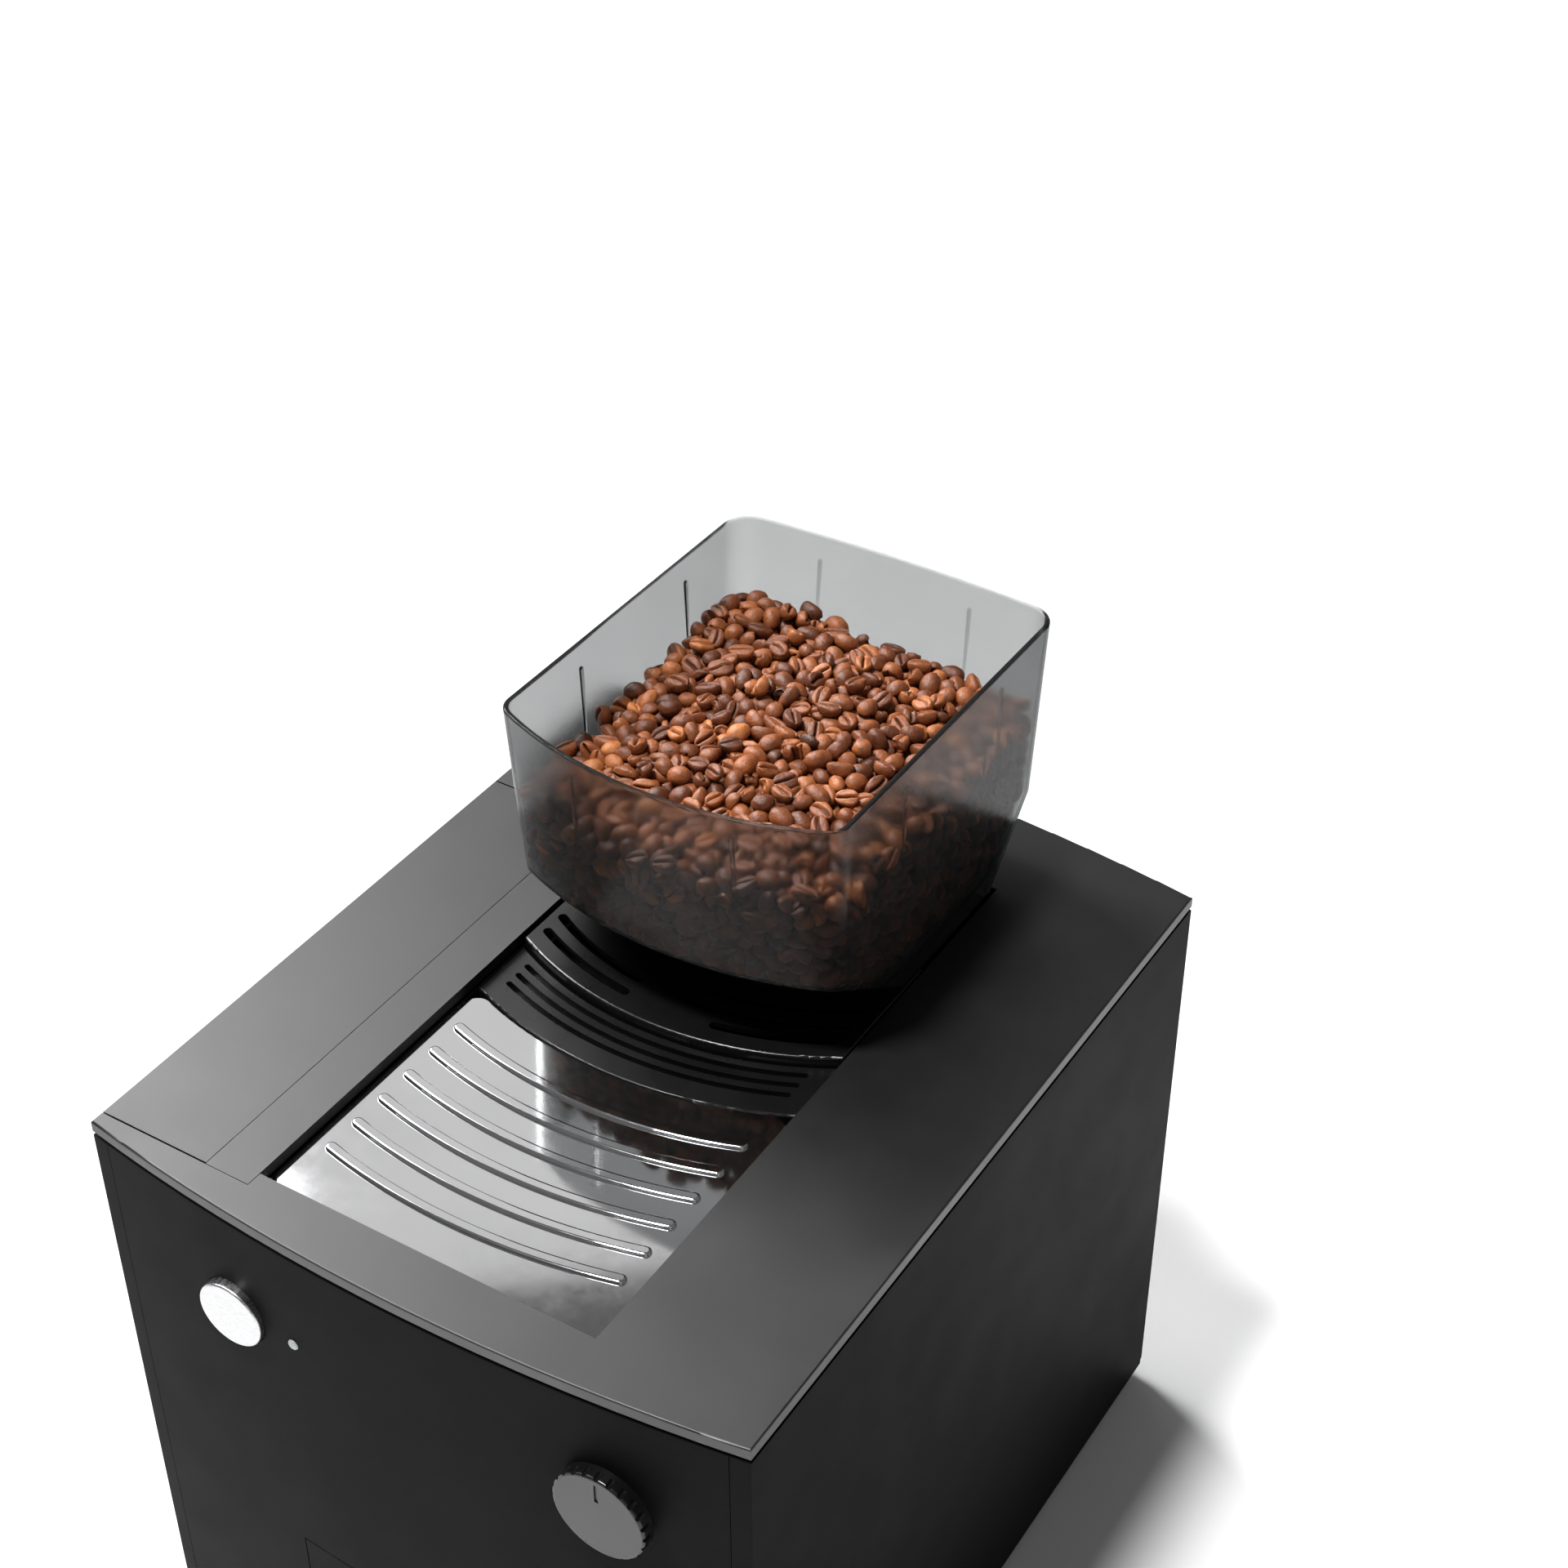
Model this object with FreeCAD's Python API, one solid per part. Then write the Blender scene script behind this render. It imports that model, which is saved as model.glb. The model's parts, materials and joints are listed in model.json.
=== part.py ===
"""Free-standing burr coffee grinder with an open bean hopper, as separate pieces.

Millimetres, +Z up, origin at the middle of the footprint on the resting surface.
Front faces -Y. A depth d is measured forward from the rearmost point of the housing.
"""

import FreeCAD
import Part
import math
import os
from FreeCAD import Vector

# Housing
WIDTH = 300.0
DEPTH = 370.0
TOP = 300.0
END_RADIUS = 928.0
WALL = 2.5
GAP = 0.3
COVER = 5.0
GROOVE = 2.0
FOOT_HEIGHT = 8.0
PAN_TOP = 12.0
CORNER_STRIP = 8.0
HALF = WIDTH / 2
BACK = DEPTH / 2
PANEL_TOP = TOP - COVER - GROOVE

# Top layout
LID_EDGE = -97.5
STRIP_EDGE = -76.5
RIGHT_EDGE = 77.3
LID_BACK = 100.8
BRIDGE_FRONT = 51.0
RECESS_FRONT = 345.0
BAND_BACK = 352.0
TRAY_TOP = TOP - 14.0
TRAY_PLATE = 2.0
LID_PIVOT_X = -HALF + 3.0
LID_PIVOT_Z = TOP - COVER / 2
LID_ROD = 1.0

# Arcs of the vent panel, louvre ring and cup plate share one centre
ARC_X = -5.0
ARC_D = 45.0
VENT_BACK = 104.0
VENT_FRONT = 152.6
LOUVRE_BACK = 153.4
LOUVRE_FRONT = 181.6
PLATE_BACK = 182.4
VENT_TOP = TOP - 1.2
LOUVRE_TOP = TOP - 5.5
PLATE_TOP = TOP - 5.0
RECESS_X = (STRIP_EDGE + RIGHT_EDGE) / 2
RECESS_HALF = 75.4
VENT_RADII = (124.0, 133.3, 142.7)
VENT_SLOT = 4.2
LOUVRE_RADII = (158.6, 164.4, 170.2)
LOUVRE_SLOT = 2.6
PLATE_RIB_RADIUS = 201.3
PLATE_RIB_PITCH = 15.4
PLATE_RIB_COUNT = 6
PLATE_RIB = 5.0

# Hopper: (height, half width, back apex, front apex, front radius, back corner, front corner)
RIM = dict(z=TOP + 115.8, half=78.3, back=5.7, front=199.8, bow=180.0, back_corner=13.0, front_corner=10.0)
KINK = dict(z=TOP + 35.0, half=76.8, back=13.5, front=194.0, bow=180.0, back_corner=12.0, front_corner=9.0)
BASE = dict(z=TOP + 1.0, half=76.0, back=47.4, front=160.5, bow=104.0, back_corner=6.0, front_corner=5.0)
BACK_BOW = 900.0
HOPPER_WALL = 2.4
THROAT_D = 90.0
THROAT = 20.0
FUNNEL_ANGLE = 9.0
THROAT_LIP = TOP + 3.0
FLOOR_DROP = 4.4
RIB_TOP = TOP + 104.5
RIB_LENGTH = 38.0
RIB_WIDTH = 2.2
RIB_DEPTHS = (55.0, 131.0)
RIB_WIDTHS = (-36.0, 37.0)
RIB_STAND = 0.3
RIM_ROUND = 0.8

# Gate under the hopper
GUIDE_BOTTOM = TOP - 11.0
GATE_Z = TOP - 8.0
GATE_PLATE = 1.2
GATE_HALF = 23.0
NOTCH_FLOOR = TOP - 11.2

# Grinding gear: heights fall from the top of the housing
AXIS_D = THROAT_D
RING_Z0 = TOP - 65.0
RING_Z1 = TOP - 56.0
HOLDER_Z0 = TOP - 90.0
BURR_Z0 = TOP - 88.0
BURR_Z1 = TOP - 69.0
CHAMBER_TOP = TOP - 66.0
CHAMBER_FLOOR = TOP - 100.0
LID_Z1 = TOP - 106.0
LID_Z0 = TOP - 110.0
CASE_BOTTOM = TOP - 148.0
CASE_WALL = 3.0
HOLDER_RADIUS = 36.0
BURR_RADIUS = 30.0
CHAMBER_RADIUS = 46.0
SHAFT = 5.0
RUNNING = 0.05
THREAD_RADIUS = 34.0

# Gears, metric modules
ADJUST_MODULE = 2.0
RING_TEETH = 52
IDLER_TEETH = 16
WHEEL_TEETH = 30
DRIVE_MODULE = 1.0
FINAL_TEETH = 72
SMALL_TEETH = 20
LARGE_TEETH = 68
PINION_TEETH = 12
FINAL_Z = (TOP - 124.0, TOP - 114.0)
LARGE_Z = (TOP - 138.0, TOP - 127.0)
IDLER_X = -ADJUST_MODULE * (RING_TEETH + IDLER_TEETH) / 2
WHEEL_X = IDLER_X - ADJUST_MODULE * (IDLER_TEETH + WHEEL_TEETH) / 2
COMPOUND_X = DRIVE_MODULE * (FINAL_TEETH + SMALL_TEETH) / 2
MOTOR_X = COMPOUND_X + DRIVE_MODULE * (LARGE_TEETH + PINION_TEETH) / 2
MOTOR_RADIUS = 30.0
MOTOR_TOP = TOP - 22.0
WHEEL_RIM = 35.2

# Grounds side
BAY_HALF = 56.0
DRAWER_HALF = 52.0
DRAWER_Z1 = 108.0
DRAWER_BACK = 228.0
DRAWER_FRONT = 356.0
FRONT_HALF = 60.0
FRONT_Z0 = 19.0
FRONT_Z1 = 121.0
CHUTE_HALF = 15.0
CHUTE_WALL = 2.0

# Front controls
CONTROL_Z = 245.0
BUTTON_X = -78.0
BUTTON_RADIUS = 15.0
BUTTON_COLLAR = 2.5
BELLOWS_BACK = 13.7
BELLOWS_FRONT = 6.1
BELLOWS_FOLDS = 3
BELLOWS_FOLD = 2.2
BELLOWS_INNER = 3.6
BELLOWS_WALL = 0.8
DIAL_X = 95.0
DIAL_RADIUS = 20.0
LENS_X = -48.0

FAR = 600.0


def y_of(depth):
    """Row y of a depth behind the rearmost point."""
    return BACK - depth


def box(x0, x1, d0, d1, z0, z1):
    """Block between two widths, two depths and two heights."""
    return Part.makeBox(x1 - x0, d1 - d0, z1 - z0, Vector(x0, y_of(d1), z0))


def post(x, d, z0, z1, radius):
    """Upright cylinder."""
    return Part.makeCylinder(radius, z1 - z0, Vector(x, y_of(d), z0))


def tube(x, d, z0, z1, inner, outer):
    """Upright tube."""
    return post(x, d, z0, z1, outer).cut(post(x, d, z0 - 1, z1 + 1, inner))


def taper(x, d, z0, r0, z1, r1):
    """Upright truncated cone from radius r0 at z0 to r1 at z1."""
    return Part.makeCone(r0, r1, z1 - z0, Vector(x, y_of(d), z0))


def rod(x, z, d0, d1, radius):
    """Cylinder along the depth."""
    return Part.makeCylinder(radius, d1 - d0, Vector(x, y_of(d1), z), Vector(0, 1, 0))


def join(shapes):
    """Union of several shapes, cleaned of internal seams."""
    first = shapes[0]
    if len(shapes) == 1:
        return first
    return first.multiFuse(shapes[1:]).removeSplitter()


def rounded(shape, radius, wanted):
    """Fillets the edges that the test function picks."""
    edges = [edge for edge in shape.Edges if wanted(edge)]
    return shape.makeFillet(radius, edges)


def is_upright(edge):
    """True for a vertical edge."""
    box_of = edge.BoundBox
    return box_of.ZLength > 1 and box_of.XLength < 0.01 and box_of.YLength < 0.01


def at_height(z):
    """Test for edges that lie wholly at one height."""

    def test(edge):
        return abs(edge.BoundBox.ZMin - z) < 0.01 and abs(edge.BoundBox.ZMax - z) < 0.01

    return test


def plan_block(inset, z0, z1):
    """Housing outline, straight at the sides and bowed at front and back, as a block."""
    half = HALF - inset
    radius = END_RADIUS - inset
    apex = BACK - inset
    corner = apex - (radius - math.sqrt(radius**2 - half**2))
    back_right = Vector(half, corner, z0)
    back_left = Vector(-half, corner, z0)
    front_left = Vector(-half, -corner, z0)
    front_right = Vector(half, -corner, z0)
    edges = [
        Part.Arc(back_right, Vector(0, apex, z0), back_left).toShape(),
        Part.LineSegment(back_left, front_left).toShape(),
        Part.Arc(front_left, Vector(0, -apex, z0), front_right).toShape(),
        Part.LineSegment(front_right, back_right).toShape(),
    ]
    return Part.Face(Part.Wire(edges)).extrude(Vector(0, 0, z1 - z0))


def shell(z0, z1):
    """Upright wall ring of the housing."""
    return plan_block(0, z0, z1).cut(plan_block(WALL, z0 - 1, z1 + 1))


def arc_depth(radius, x):
    """Depth of a recess arc at a width."""
    return ARC_D + math.sqrt(radius**2 - (x - ARC_X) ** 2)


def arc_band(inner, outer, z0, z1):
    """Front part of a flat ring about the shared arc centre, cut straight at the recess sides."""
    whole = tube(ARC_X, ARC_D, z0, z1, inner, outer)
    return whole.common(box(RECESS_X - RECESS_HALF, RECESS_X + RECESS_HALF, ARC_D + 20, FAR, z0, z1))


def arc_slot(radius, x_left, x_right, width, z0, z1):
    """Bar that follows a recess arc between two widths, with round ends."""
    start = math.degrees(math.acos((x_left - ARC_X) / radius))
    end = math.degrees(math.acos((x_right - ARC_X) / radius))
    centre = Vector(ARC_X, y_of(ARC_D), z0)
    up = Vector(0, 0, 1)
    outer = Part.makeCylinder(radius + width / 2, z1 - z0, centre, up, start - end)
    inner = Part.makeCylinder(radius - width / 2, z1 - z0, centre, up, start - end)
    bar = outer.cut(inner)
    bar.rotate(centre, up, -start)
    ends = [post(x, arc_depth(radius, x), z0, z1, width / 2) for x in (x_left, x_right)]
    return join([bar] + ends)


def end_points(half, apex, bow, corner, side, z):
    """Tangent and middle points of one rounded, bowed end; side is +1 at the back, -1 in front."""
    centre_y = apex - side * bow
    fillet_x = half - corner
    rise = math.sqrt((bow - corner) ** 2 - fillet_x**2)
    fillet_y = centre_y + side * rise
    scale = bow / (bow - corner)
    on_arc = Vector(fillet_x * scale, centre_y + side * rise * scale, z)
    direction = Vector(fillet_x, side * rise, 0).normalize() + Vector(1, 0, 0)
    middle = Vector(fillet_x, fillet_y, z) + direction.normalize() * corner
    return Vector(half, fillet_y, z), middle, on_arc, Vector(0, apex, z)


def mirrored(point):
    """Point on the other side of the middle plane."""
    return Vector(-point.x, point.y, point.z)


def outline(shape, inset):
    """Closed wire of a hopper section with bowed ends and round corners, drawn in by inset."""
    z = shape["z"]
    half = shape["half"] - inset
    front = end_points(
        half,
        y_of(shape["front"] - inset),
        shape["bow"] - inset,
        max(shape["front_corner"] - inset, 1.0),
        -1,
        z,
    )
    back = end_points(
        half, y_of(shape["back"] + inset), BACK_BOW - inset, max(shape["back_corner"] - inset, 1.0), 1, z
    )
    side_f, mid_f, arc_f, apex_f = front
    side_b, mid_b, arc_b, apex_b = back
    edges = [
        Part.LineSegment(side_f, side_b).toShape(),
        Part.Arc(side_b, mid_b, arc_b).toShape(),
        Part.Arc(arc_b, apex_b, mirrored(arc_b)).toShape(),
        Part.Arc(mirrored(arc_b), mirrored(mid_b), mirrored(side_b)).toShape(),
        Part.LineSegment(mirrored(side_b), mirrored(side_f)).toShape(),
        Part.Arc(mirrored(side_f), mirrored(mid_f), mirrored(arc_f)).toShape(),
        Part.Arc(mirrored(arc_f), apex_f, arc_f).toShape(),
        Part.Arc(arc_f, mid_f, side_f).toShape(),
    ]
    return Part.Wire(edges)


def hopper_form(inset, rim=RIM):
    """Solid of the hopper's outside, drawn in by inset."""
    upper = Part.makeLoft([outline(KINK, inset), outline(rim, inset)], True, True)
    lower = Part.makeLoft([outline(BASE, inset), outline(KINK, inset)], True, True)
    return upper.fuse(lower)


def above_funnel(raise_by):
    """Space above the hopper's conical floor, raised by a little."""
    reach = 150.0
    rise = (reach - THROAT) * math.tan(math.radians(FUNNEL_ANGLE))
    low = THROAT_LIP + raise_by
    cone = taper(0, THROAT_D, low, THROAT, low + rise, reach)
    return cone.fuse(post(0, THROAT_D, low + rise, low + rise + 150, reach))


def wall_rib(x, d, lean_x, lean_d):
    """Slim rib inside the hopper wall, round at its top, that leans with the wall by so much per height."""
    top = Vector(x, y_of(d), RIB_TOP)
    along = Vector(lean_x, -lean_d, -1).normalize()
    foot = top + along * RIB_LENGTH
    rib = Part.makeCone(RIB_WIDTH / 2, RIB_WIDTH / 4, RIB_LENGTH, top, foot - top)
    return rib.fuse(Part.makeSphere(RIB_WIDTH / 2, top))


def involute(angle):
    """Involute function of a pressure angle in radians."""
    return math.tan(angle) - angle


def gear(teeth, module, x, d, z0, z1, bore, first_tooth):
    """Spur gear with one tooth centred at first_tooth degrees, with backlash."""
    pitch = module * teeth / 2
    base = pitch * math.cos(math.radians(20))
    root = pitch - 1.25 * module
    tip = pitch + 0.95 * module
    half_pitch = math.pi / 2 / teeth - 0.05 / teeth - 0.10 / pitch
    centre = Vector(x, y_of(d), z0)

    def half_angle(radius):
        pressure = math.acos(min(base / max(radius, base), 1.0))
        return half_pitch + involute(math.radians(20)) - involute(pressure)

    points = []
    for tooth in range(teeth):
        middle = math.radians(first_tooth + 360.0 * tooth / teeth)
        for radius, side in ((root, -1), (pitch, -1), (tip, -1), (tip, 1), (pitch, 1), (root, 1)):
            angle = middle + side * half_angle(radius)
            points.append(centre + Vector(radius * math.cos(angle), radius * math.sin(angle), 0))
    points.append(points[0])
    blank = Part.Face(Part.makePolygon(points)).extrude(Vector(0, 0, z1 - z0))
    return blank.cut(post(x, d, z0 - 1, z1 + 1, bore))


def rear_sag(x):
    """Depth of the rear face at a width."""
    return END_RADIUS - math.sqrt(END_RADIUS**2 - x**2)


def front_depth(x):
    """Depth of the housing's front face at a width."""
    return DEPTH - rear_sag(x)


def button_face(x):
    """Depth of the front wall's inside at a control."""
    return front_depth(x) - WALL


# ---------------------------------------------------------------- housing


def base_pan():
    """Floor of the housing with screw bosses and cooling slots."""
    pan = plan_block(GAP, FOOT_HEIGHT, PAN_TOP)
    rim = plan_block(WALL + GAP, FOOT_HEIGHT, PAN_TOP + 5).cut(plan_block(2 * WALL + GAP, 0, TOP))
    slots = [box(x, x + 4, 150, 200, 0, TOP) for x in range(-120, -70, 10)]
    slots += [box(x, x + 4, 150, 200, 0, TOP) for x in range(74, 124, 10)]
    return join([pan, rim]).cut(join(slots))


def foot_places():
    return [(x, d) for x in (-120.0, 120.0) for d in (40.0, 330.0)]


def rubber_feet():
    """Four tapered rubber feet below the pan."""
    feet = [taper(x, d, 0, 11, FOOT_HEIGHT, 13) for x, d in foot_places()]
    return Part.makeCompound(feet)


def case_screws():
    """Pan-head screws that hold the pan, one beside each foot."""
    screws = []
    for x, d in foot_places():
        inward = -24 if x > 0 else 24
        head = post(x + inward, d, FOOT_HEIGHT - 2, FOOT_HEIGHT, 3.5)
        cross = box(x + inward - 2, x + inward + 2, d - 0.5, d + 0.5, 0, FOOT_HEIGHT - 1.2)
        screws.append(head.cut(cross))
    return Part.makeCompound(screws)


def left_side_panel():
    """Side wall with the window of the fineness wheel, hollowed for a fingertip."""
    panel = shell(PAN_TOP, PANEL_TOP).common(box(-HALF, -HALF + CORNER_STRIP, 0, DEPTH, 0, TOP))
    window = box(-HALF - 1, -HALF + WALL + 1, AXIS_D - 27, AXIS_D + 27, TOP - 79, TOP - 62)
    return panel.cut(window)


def right_side_panel():
    """Plain side wall."""
    return shell(PAN_TOP, PANEL_TOP).common(box(HALF - CORNER_STRIP, HALF, 0, DEPTH, 0, TOP))


def inner_width():
    return HALF - CORNER_STRIP - GAP


def rear_panel():
    """Bowed rear wall with cooling slots, openings for inlet and switch, and the notch below the gate."""
    half = inner_width()
    panel = shell(PAN_TOP, PANEL_TOP).common(box(-half, half, 0, 60, 0, TOP))
    cuts = [box(x, x + 3, -1, 20, 190, 250) for x in range(30, 120, 8)]
    cuts.append(box(-128.3, -93.7, -1, 20, 32.7, 63.3))
    cuts.append(box(-124.3, -97.7, -1, 20, 77.7, 97.3))
    cuts.append(box(-30, 30, -1, 20, NOTCH_FLOOR - 2.5, TOP))
    return panel.cut(join(cuts))


def button_cage():
    """Cup behind the start button, whose bored floor the bellows stands on."""
    inside = button_face(BUTTON_X)
    radius = BUTTON_RADIUS + BUTTON_COLLAR + 0.5
    cup = rod(BUTTON_X, CONTROL_Z, inside - BELLOWS_BACK - 2.1, inside + 1, radius + 2)
    hollow = rod(BUTTON_X, CONTROL_Z, inside - BELLOWS_BACK - 0.1, inside + 2, radius)
    return cup.cut(hollow).cut(rod(BUTTON_X, CONTROL_Z, 300, DEPTH, 3.4))


def front_panel():
    """Bowed front wall with the drawer opening, holes for the controls and the cup of the button."""
    half = inner_width()
    panel = shell(PAN_TOP, PANEL_TOP).common(box(-half, half, 300, DEPTH, 0, TOP))
    panel = join([panel, button_cage().common(plan_block(WALL / 2, 0, TOP))])
    cuts = [
        box(-FRONT_HALF - 0.6, FRONT_HALF + 0.6, 330, DEPTH + 1, FRONT_Z0 - 0.6, FRONT_Z1 + 0.6),
        rod(BUTTON_X, CONTROL_Z, 340, DEPTH + 1, BUTTON_RADIUS + 0.4),
        rod(DIAL_X, CONTROL_Z, 340, DEPTH + 1, 5.0),
        rod(LENS_X, CONTROL_Z, 340, DEPTH + 1, 2.5),
    ]
    return panel.cut(join(cuts))


def cover_blank():
    """Whole top plate with its edge band and the lip that fits inside the walls."""
    plate = rounded(plan_block(0, TOP - COVER, TOP), 0.8, at_height(TOP))
    inner = plan_block(WALL + GAP, TOP - 12, TOP - COVER)
    lip = inner.cut(plan_block(2 * WALL + GAP, 0, TOP))
    return join([plate, lip])


def top_cover():
    """Right panel, rear bridge and front band of the top in one moulding."""
    cover = cover_blank()
    recess = box(STRIP_EDGE, RIGHT_EDGE, BRIDGE_FRONT, RECESS_FRONT, 0, TOP + 1)
    left = box(-FAR, STRIP_EDGE + GAP, -1, BAND_BACK, 0, TOP + 1)
    floor = box(-29, 29, 0, BRIDGE_FRONT, TOP - 13, TOP - COVER).common(plan_block(0.5, 0, TOP))
    notch = box(-26.5, 26.5, -1, BRIDGE_FRONT + 1, NOTCH_FLOOR, TOP + 1)
    return join([cover.cut(recess.fuse(left)), floor]).cut(notch)


def left_strip():
    """Narrow strip between the left lid and the recess."""
    keep = box(LID_EDGE + GAP, STRIP_EDGE, 0, BAND_BACK - GAP, 0, TOP + 1)
    return cover_blank().common(keep)


def rear_left_cover():
    """Fixed cover behind the left lid, bored for the lid's rod."""
    keep = box(-HALF, LID_EDGE, 0, LID_BACK, 0, TOP + 1)
    return cover_blank().common(keep).cut(rod(LID_PIVOT_X, LID_PIVOT_Z, LID_BACK - 10, LID_BACK, LID_ROD))


def left_lid():
    """Hinged lid over the storage bin."""
    plate = rounded(plan_block(0, TOP - COVER, TOP), 0.8, at_height(TOP))
    keep = box(-HALF, LID_EDGE, LID_BACK + 0.8, BAND_BACK - 0.8, 0, TOP + 1)
    bore = rod(LID_PIVOT_X, LID_PIVOT_Z, 0, DEPTH, LID_ROD + RUNNING)
    return plate.common(keep).cut(bore)


def lid_rod():
    """Steel rod that the lid turns on."""
    return rod(LID_PIVOT_X, LID_PIVOT_Z, LID_BACK - 9, BAND_BACK - 0.5, LID_ROD)


def storage_bin():
    """Open tray under the left lid for a brush."""
    x0, x1 = -143.5, LID_EDGE - 1.0
    d0, d1 = LID_BACK + 35, RECESS_FRONT
    z0, z1 = TOP - 62, TOP - COVER - 1.5
    outside = rounded(box(x0, x1, d0, d1, z0, z1), 6, is_upright)
    inside = rounded(box(x0 + 2, x1 - 2, d0 + 2, d1 - 2, z0 + 2, z1 + 1), 4, is_upright)
    return outside.cut(inside)


def recess_tray():
    """Floor of the recess with its side walls and the hole of the bean throat."""
    x0, x1 = STRIP_EDGE + GAP, RIGHT_EDGE - GAP
    d0, d1 = BRIDGE_FRONT + GAP, RECESS_FRONT - GAP
    tray = box(x0, x1, d0, d1, TRAY_TOP - TRAY_PLATE, TOP - 6)
    hollow = box(x0 + 0.8, x1 - 0.8, d0 + 0.8, d1 - 0.8, TRAY_TOP, TOP)
    tray = tray.cut(hollow)
    gate_way = box(-29.5, 29.5, d0 - 1, d0 + 2, TRAY_TOP, TOP)
    hole = post(0, THROAT_D, 0, TOP, 25.2)
    return tray.cut(join([hole, gate_way]))


def vent_panel():
    """Raised black panel in front of the hopper, with arc slots and a folded front edge."""
    plate = arc_band(VENT_BACK, VENT_FRONT, VENT_TOP - 2.5, VENT_TOP)
    skirt = arc_band(VENT_FRONT - 2.2, VENT_FRONT, TRAY_TOP + 0.2, VENT_TOP - 1)
    panel = join([plate, skirt])
    panel = rounded(panel, 1.0, at_height(VENT_TOP))
    slots = [arc_slot(radius, -69.0, -20.0, VENT_SLOT, 0, TOP) for radius in VENT_RADII[1:]]
    left_ends = (4.5, 4.5, 22.0)
    slots += [
        arc_slot(radius, left, 67.0, VENT_SLOT, 0, TOP) for radius, left in zip(VENT_RADII, left_ends)
    ]
    return panel.cut(join(slots))


def louvre_ring():
    """Lower step with arc grooves between the vent panel and the cup plate."""
    ring = arc_band(LOUVRE_BACK, LOUVRE_FRONT, TRAY_TOP + 0.2, LOUVRE_TOP)
    ring = rounded(ring, 0.8, at_height(LOUVRE_TOP))
    grooves = [
        arc_slot(radius, -66.0, 66.0, LOUVRE_SLOT, LOUVRE_TOP - 4.0, TOP) for radius in LOUVRE_RADII
    ]
    return ring.cut(join(grooves))


def cup_plate():
    """Polished plate with a turned-down edge and raised arc ribs."""
    x0, x1 = RECESS_X - RECESS_HALF, RECESS_X + RECESS_HALF
    d1 = RECESS_FRONT - 1.4
    body = box(x0, x1, ARC_D, d1, TRAY_TOP + 0.3, PLATE_TOP).cut(post(ARC_X, ARC_D, 0, TOP, PLATE_BACK))
    body = rounded(body, 7.0, is_upright)
    body = rounded(body, 1.0, at_height(PLATE_TOP))
    hollow = box(x0 + 1.2, x1 - 1.2, ARC_D, d1 - 1.2, 0, PLATE_TOP - 1.2)
    hollow = hollow.cut(post(ARC_X, ARC_D, 0, TOP, PLATE_BACK + 1.2))
    body = body.cut(rounded(hollow, 6.0, is_upright))
    ribs = []
    for i in range(PLATE_RIB_COUNT):
        radius = PLATE_RIB_RADIUS + i * PLATE_RIB_PITCH
        rib = arc_slot(radius, -66.0, 66.0, PLATE_RIB, PLATE_TOP - 1.0, PLATE_TOP + 1.4)
        ribs.append(rounded(rib, 1.2, at_height(PLATE_TOP + 1.4)))
    return join([body] + ribs)


# ---------------------------------------------------------------- hopper


def hopper():
    """Thin moulded bin with a conical floor, a round throat and slim inner ribs."""
    shape = hopper_form(0)
    top = dict(RIM, z=RIM["z"] + 0.01)
    inside = hopper_form(HOPPER_WALL, top)
    bowl = inside.common(above_funnel(0))
    collar = post(0, THROAT_D, 0, FAR, THROAT + 3)
    below = inside.cut(above_funnel(-FLOOR_DROP)).cut(collar)
    throat = post(0, THROAT_D, 0, FAR, THROAT)
    body = shape.cut(bowl).cut(below).cut(throat)
    body = rounded(body, RIM_ROUND, at_height(RIM["z"]))
    rise = RIM["z"] - KINK["z"]
    down = RIM["z"] - RIB_TOP
    side_lean = (RIM["half"] - KINK["half"]) / rise
    back_lean = (KINK["back"] - RIM["back"]) / rise
    front_lean = (RIM["front"] - KINK["front"]) / rise
    ribs = []
    inward = HOPPER_WALL + RIB_STAND
    for d in RIB_DEPTHS:
        rib_x = RIM["half"] - inward - side_lean * down
        ribs.append(wall_rib(rib_x, d, -side_lean, 0))
        ribs.append(wall_rib(-rib_x, d, side_lean, 0))
    for x in RIB_WIDTHS:
        back_sag = BACK_BOW - math.sqrt(BACK_BOW**2 - x**2)
        front_sag = RIM["bow"] - math.sqrt(RIM["bow"] ** 2 - x**2)
        ribs.append(wall_rib(x, RIM["back"] + inward + back_sag + back_lean * down, 0, back_lean))
        ribs.append(wall_rib(x, RIM["front"] - inward - front_sag - front_lean * down, 0, -front_lean))
    return join([body] + ribs)


def bean_fill():
    """Heap of beans, as one plain solid a little clear of the hopper."""
    inside = hopper_form(HOPPER_WALL + 1.8)
    heap = inside.common(above_funnel(1.0))
    crown = Part.makeSphere(600.0, Vector(0, y_of(100.0), TOP + 84.0 - 600.0))
    floor = post(0, THROAT_D, 0, TOP + 5.0, 300.0)
    return heap.common(crown).cut(floor)


def gate_guide():
    """Flat box under the hopper that the gate slides in."""
    guide = box(-32, 32, 56, 126, GUIDE_BOTTOM, TOP + 0.9)
    guide = rounded(guide, 4, is_upright)
    hole = post(0, THROAT_D, 0, FAR, THROAT)
    way = box(-GATE_HALF - 0.3, GATE_HALF + 0.3, 50, 113, GATE_Z - 0.2, GATE_Z + GATE_PLATE + 0.2)
    return guide.cut(join([hole, way]))


def gate_plate():
    """Slide that shuts the throat, pulled back at rest, with a turned-down finger tab."""
    plate = box(-GATE_HALF, GATE_HALF, 7.0, 69.5, GATE_Z, GATE_Z + GATE_PLATE)
    tab = box(-GATE_HALF, GATE_HALF, 5.4, 7.4, GATE_Z - 2.6, GATE_Z + 5.5)
    tab = rounded(tab, 0.6, lambda edge: edge.BoundBox.XLength > 10)
    return join([plate, tab])


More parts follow.
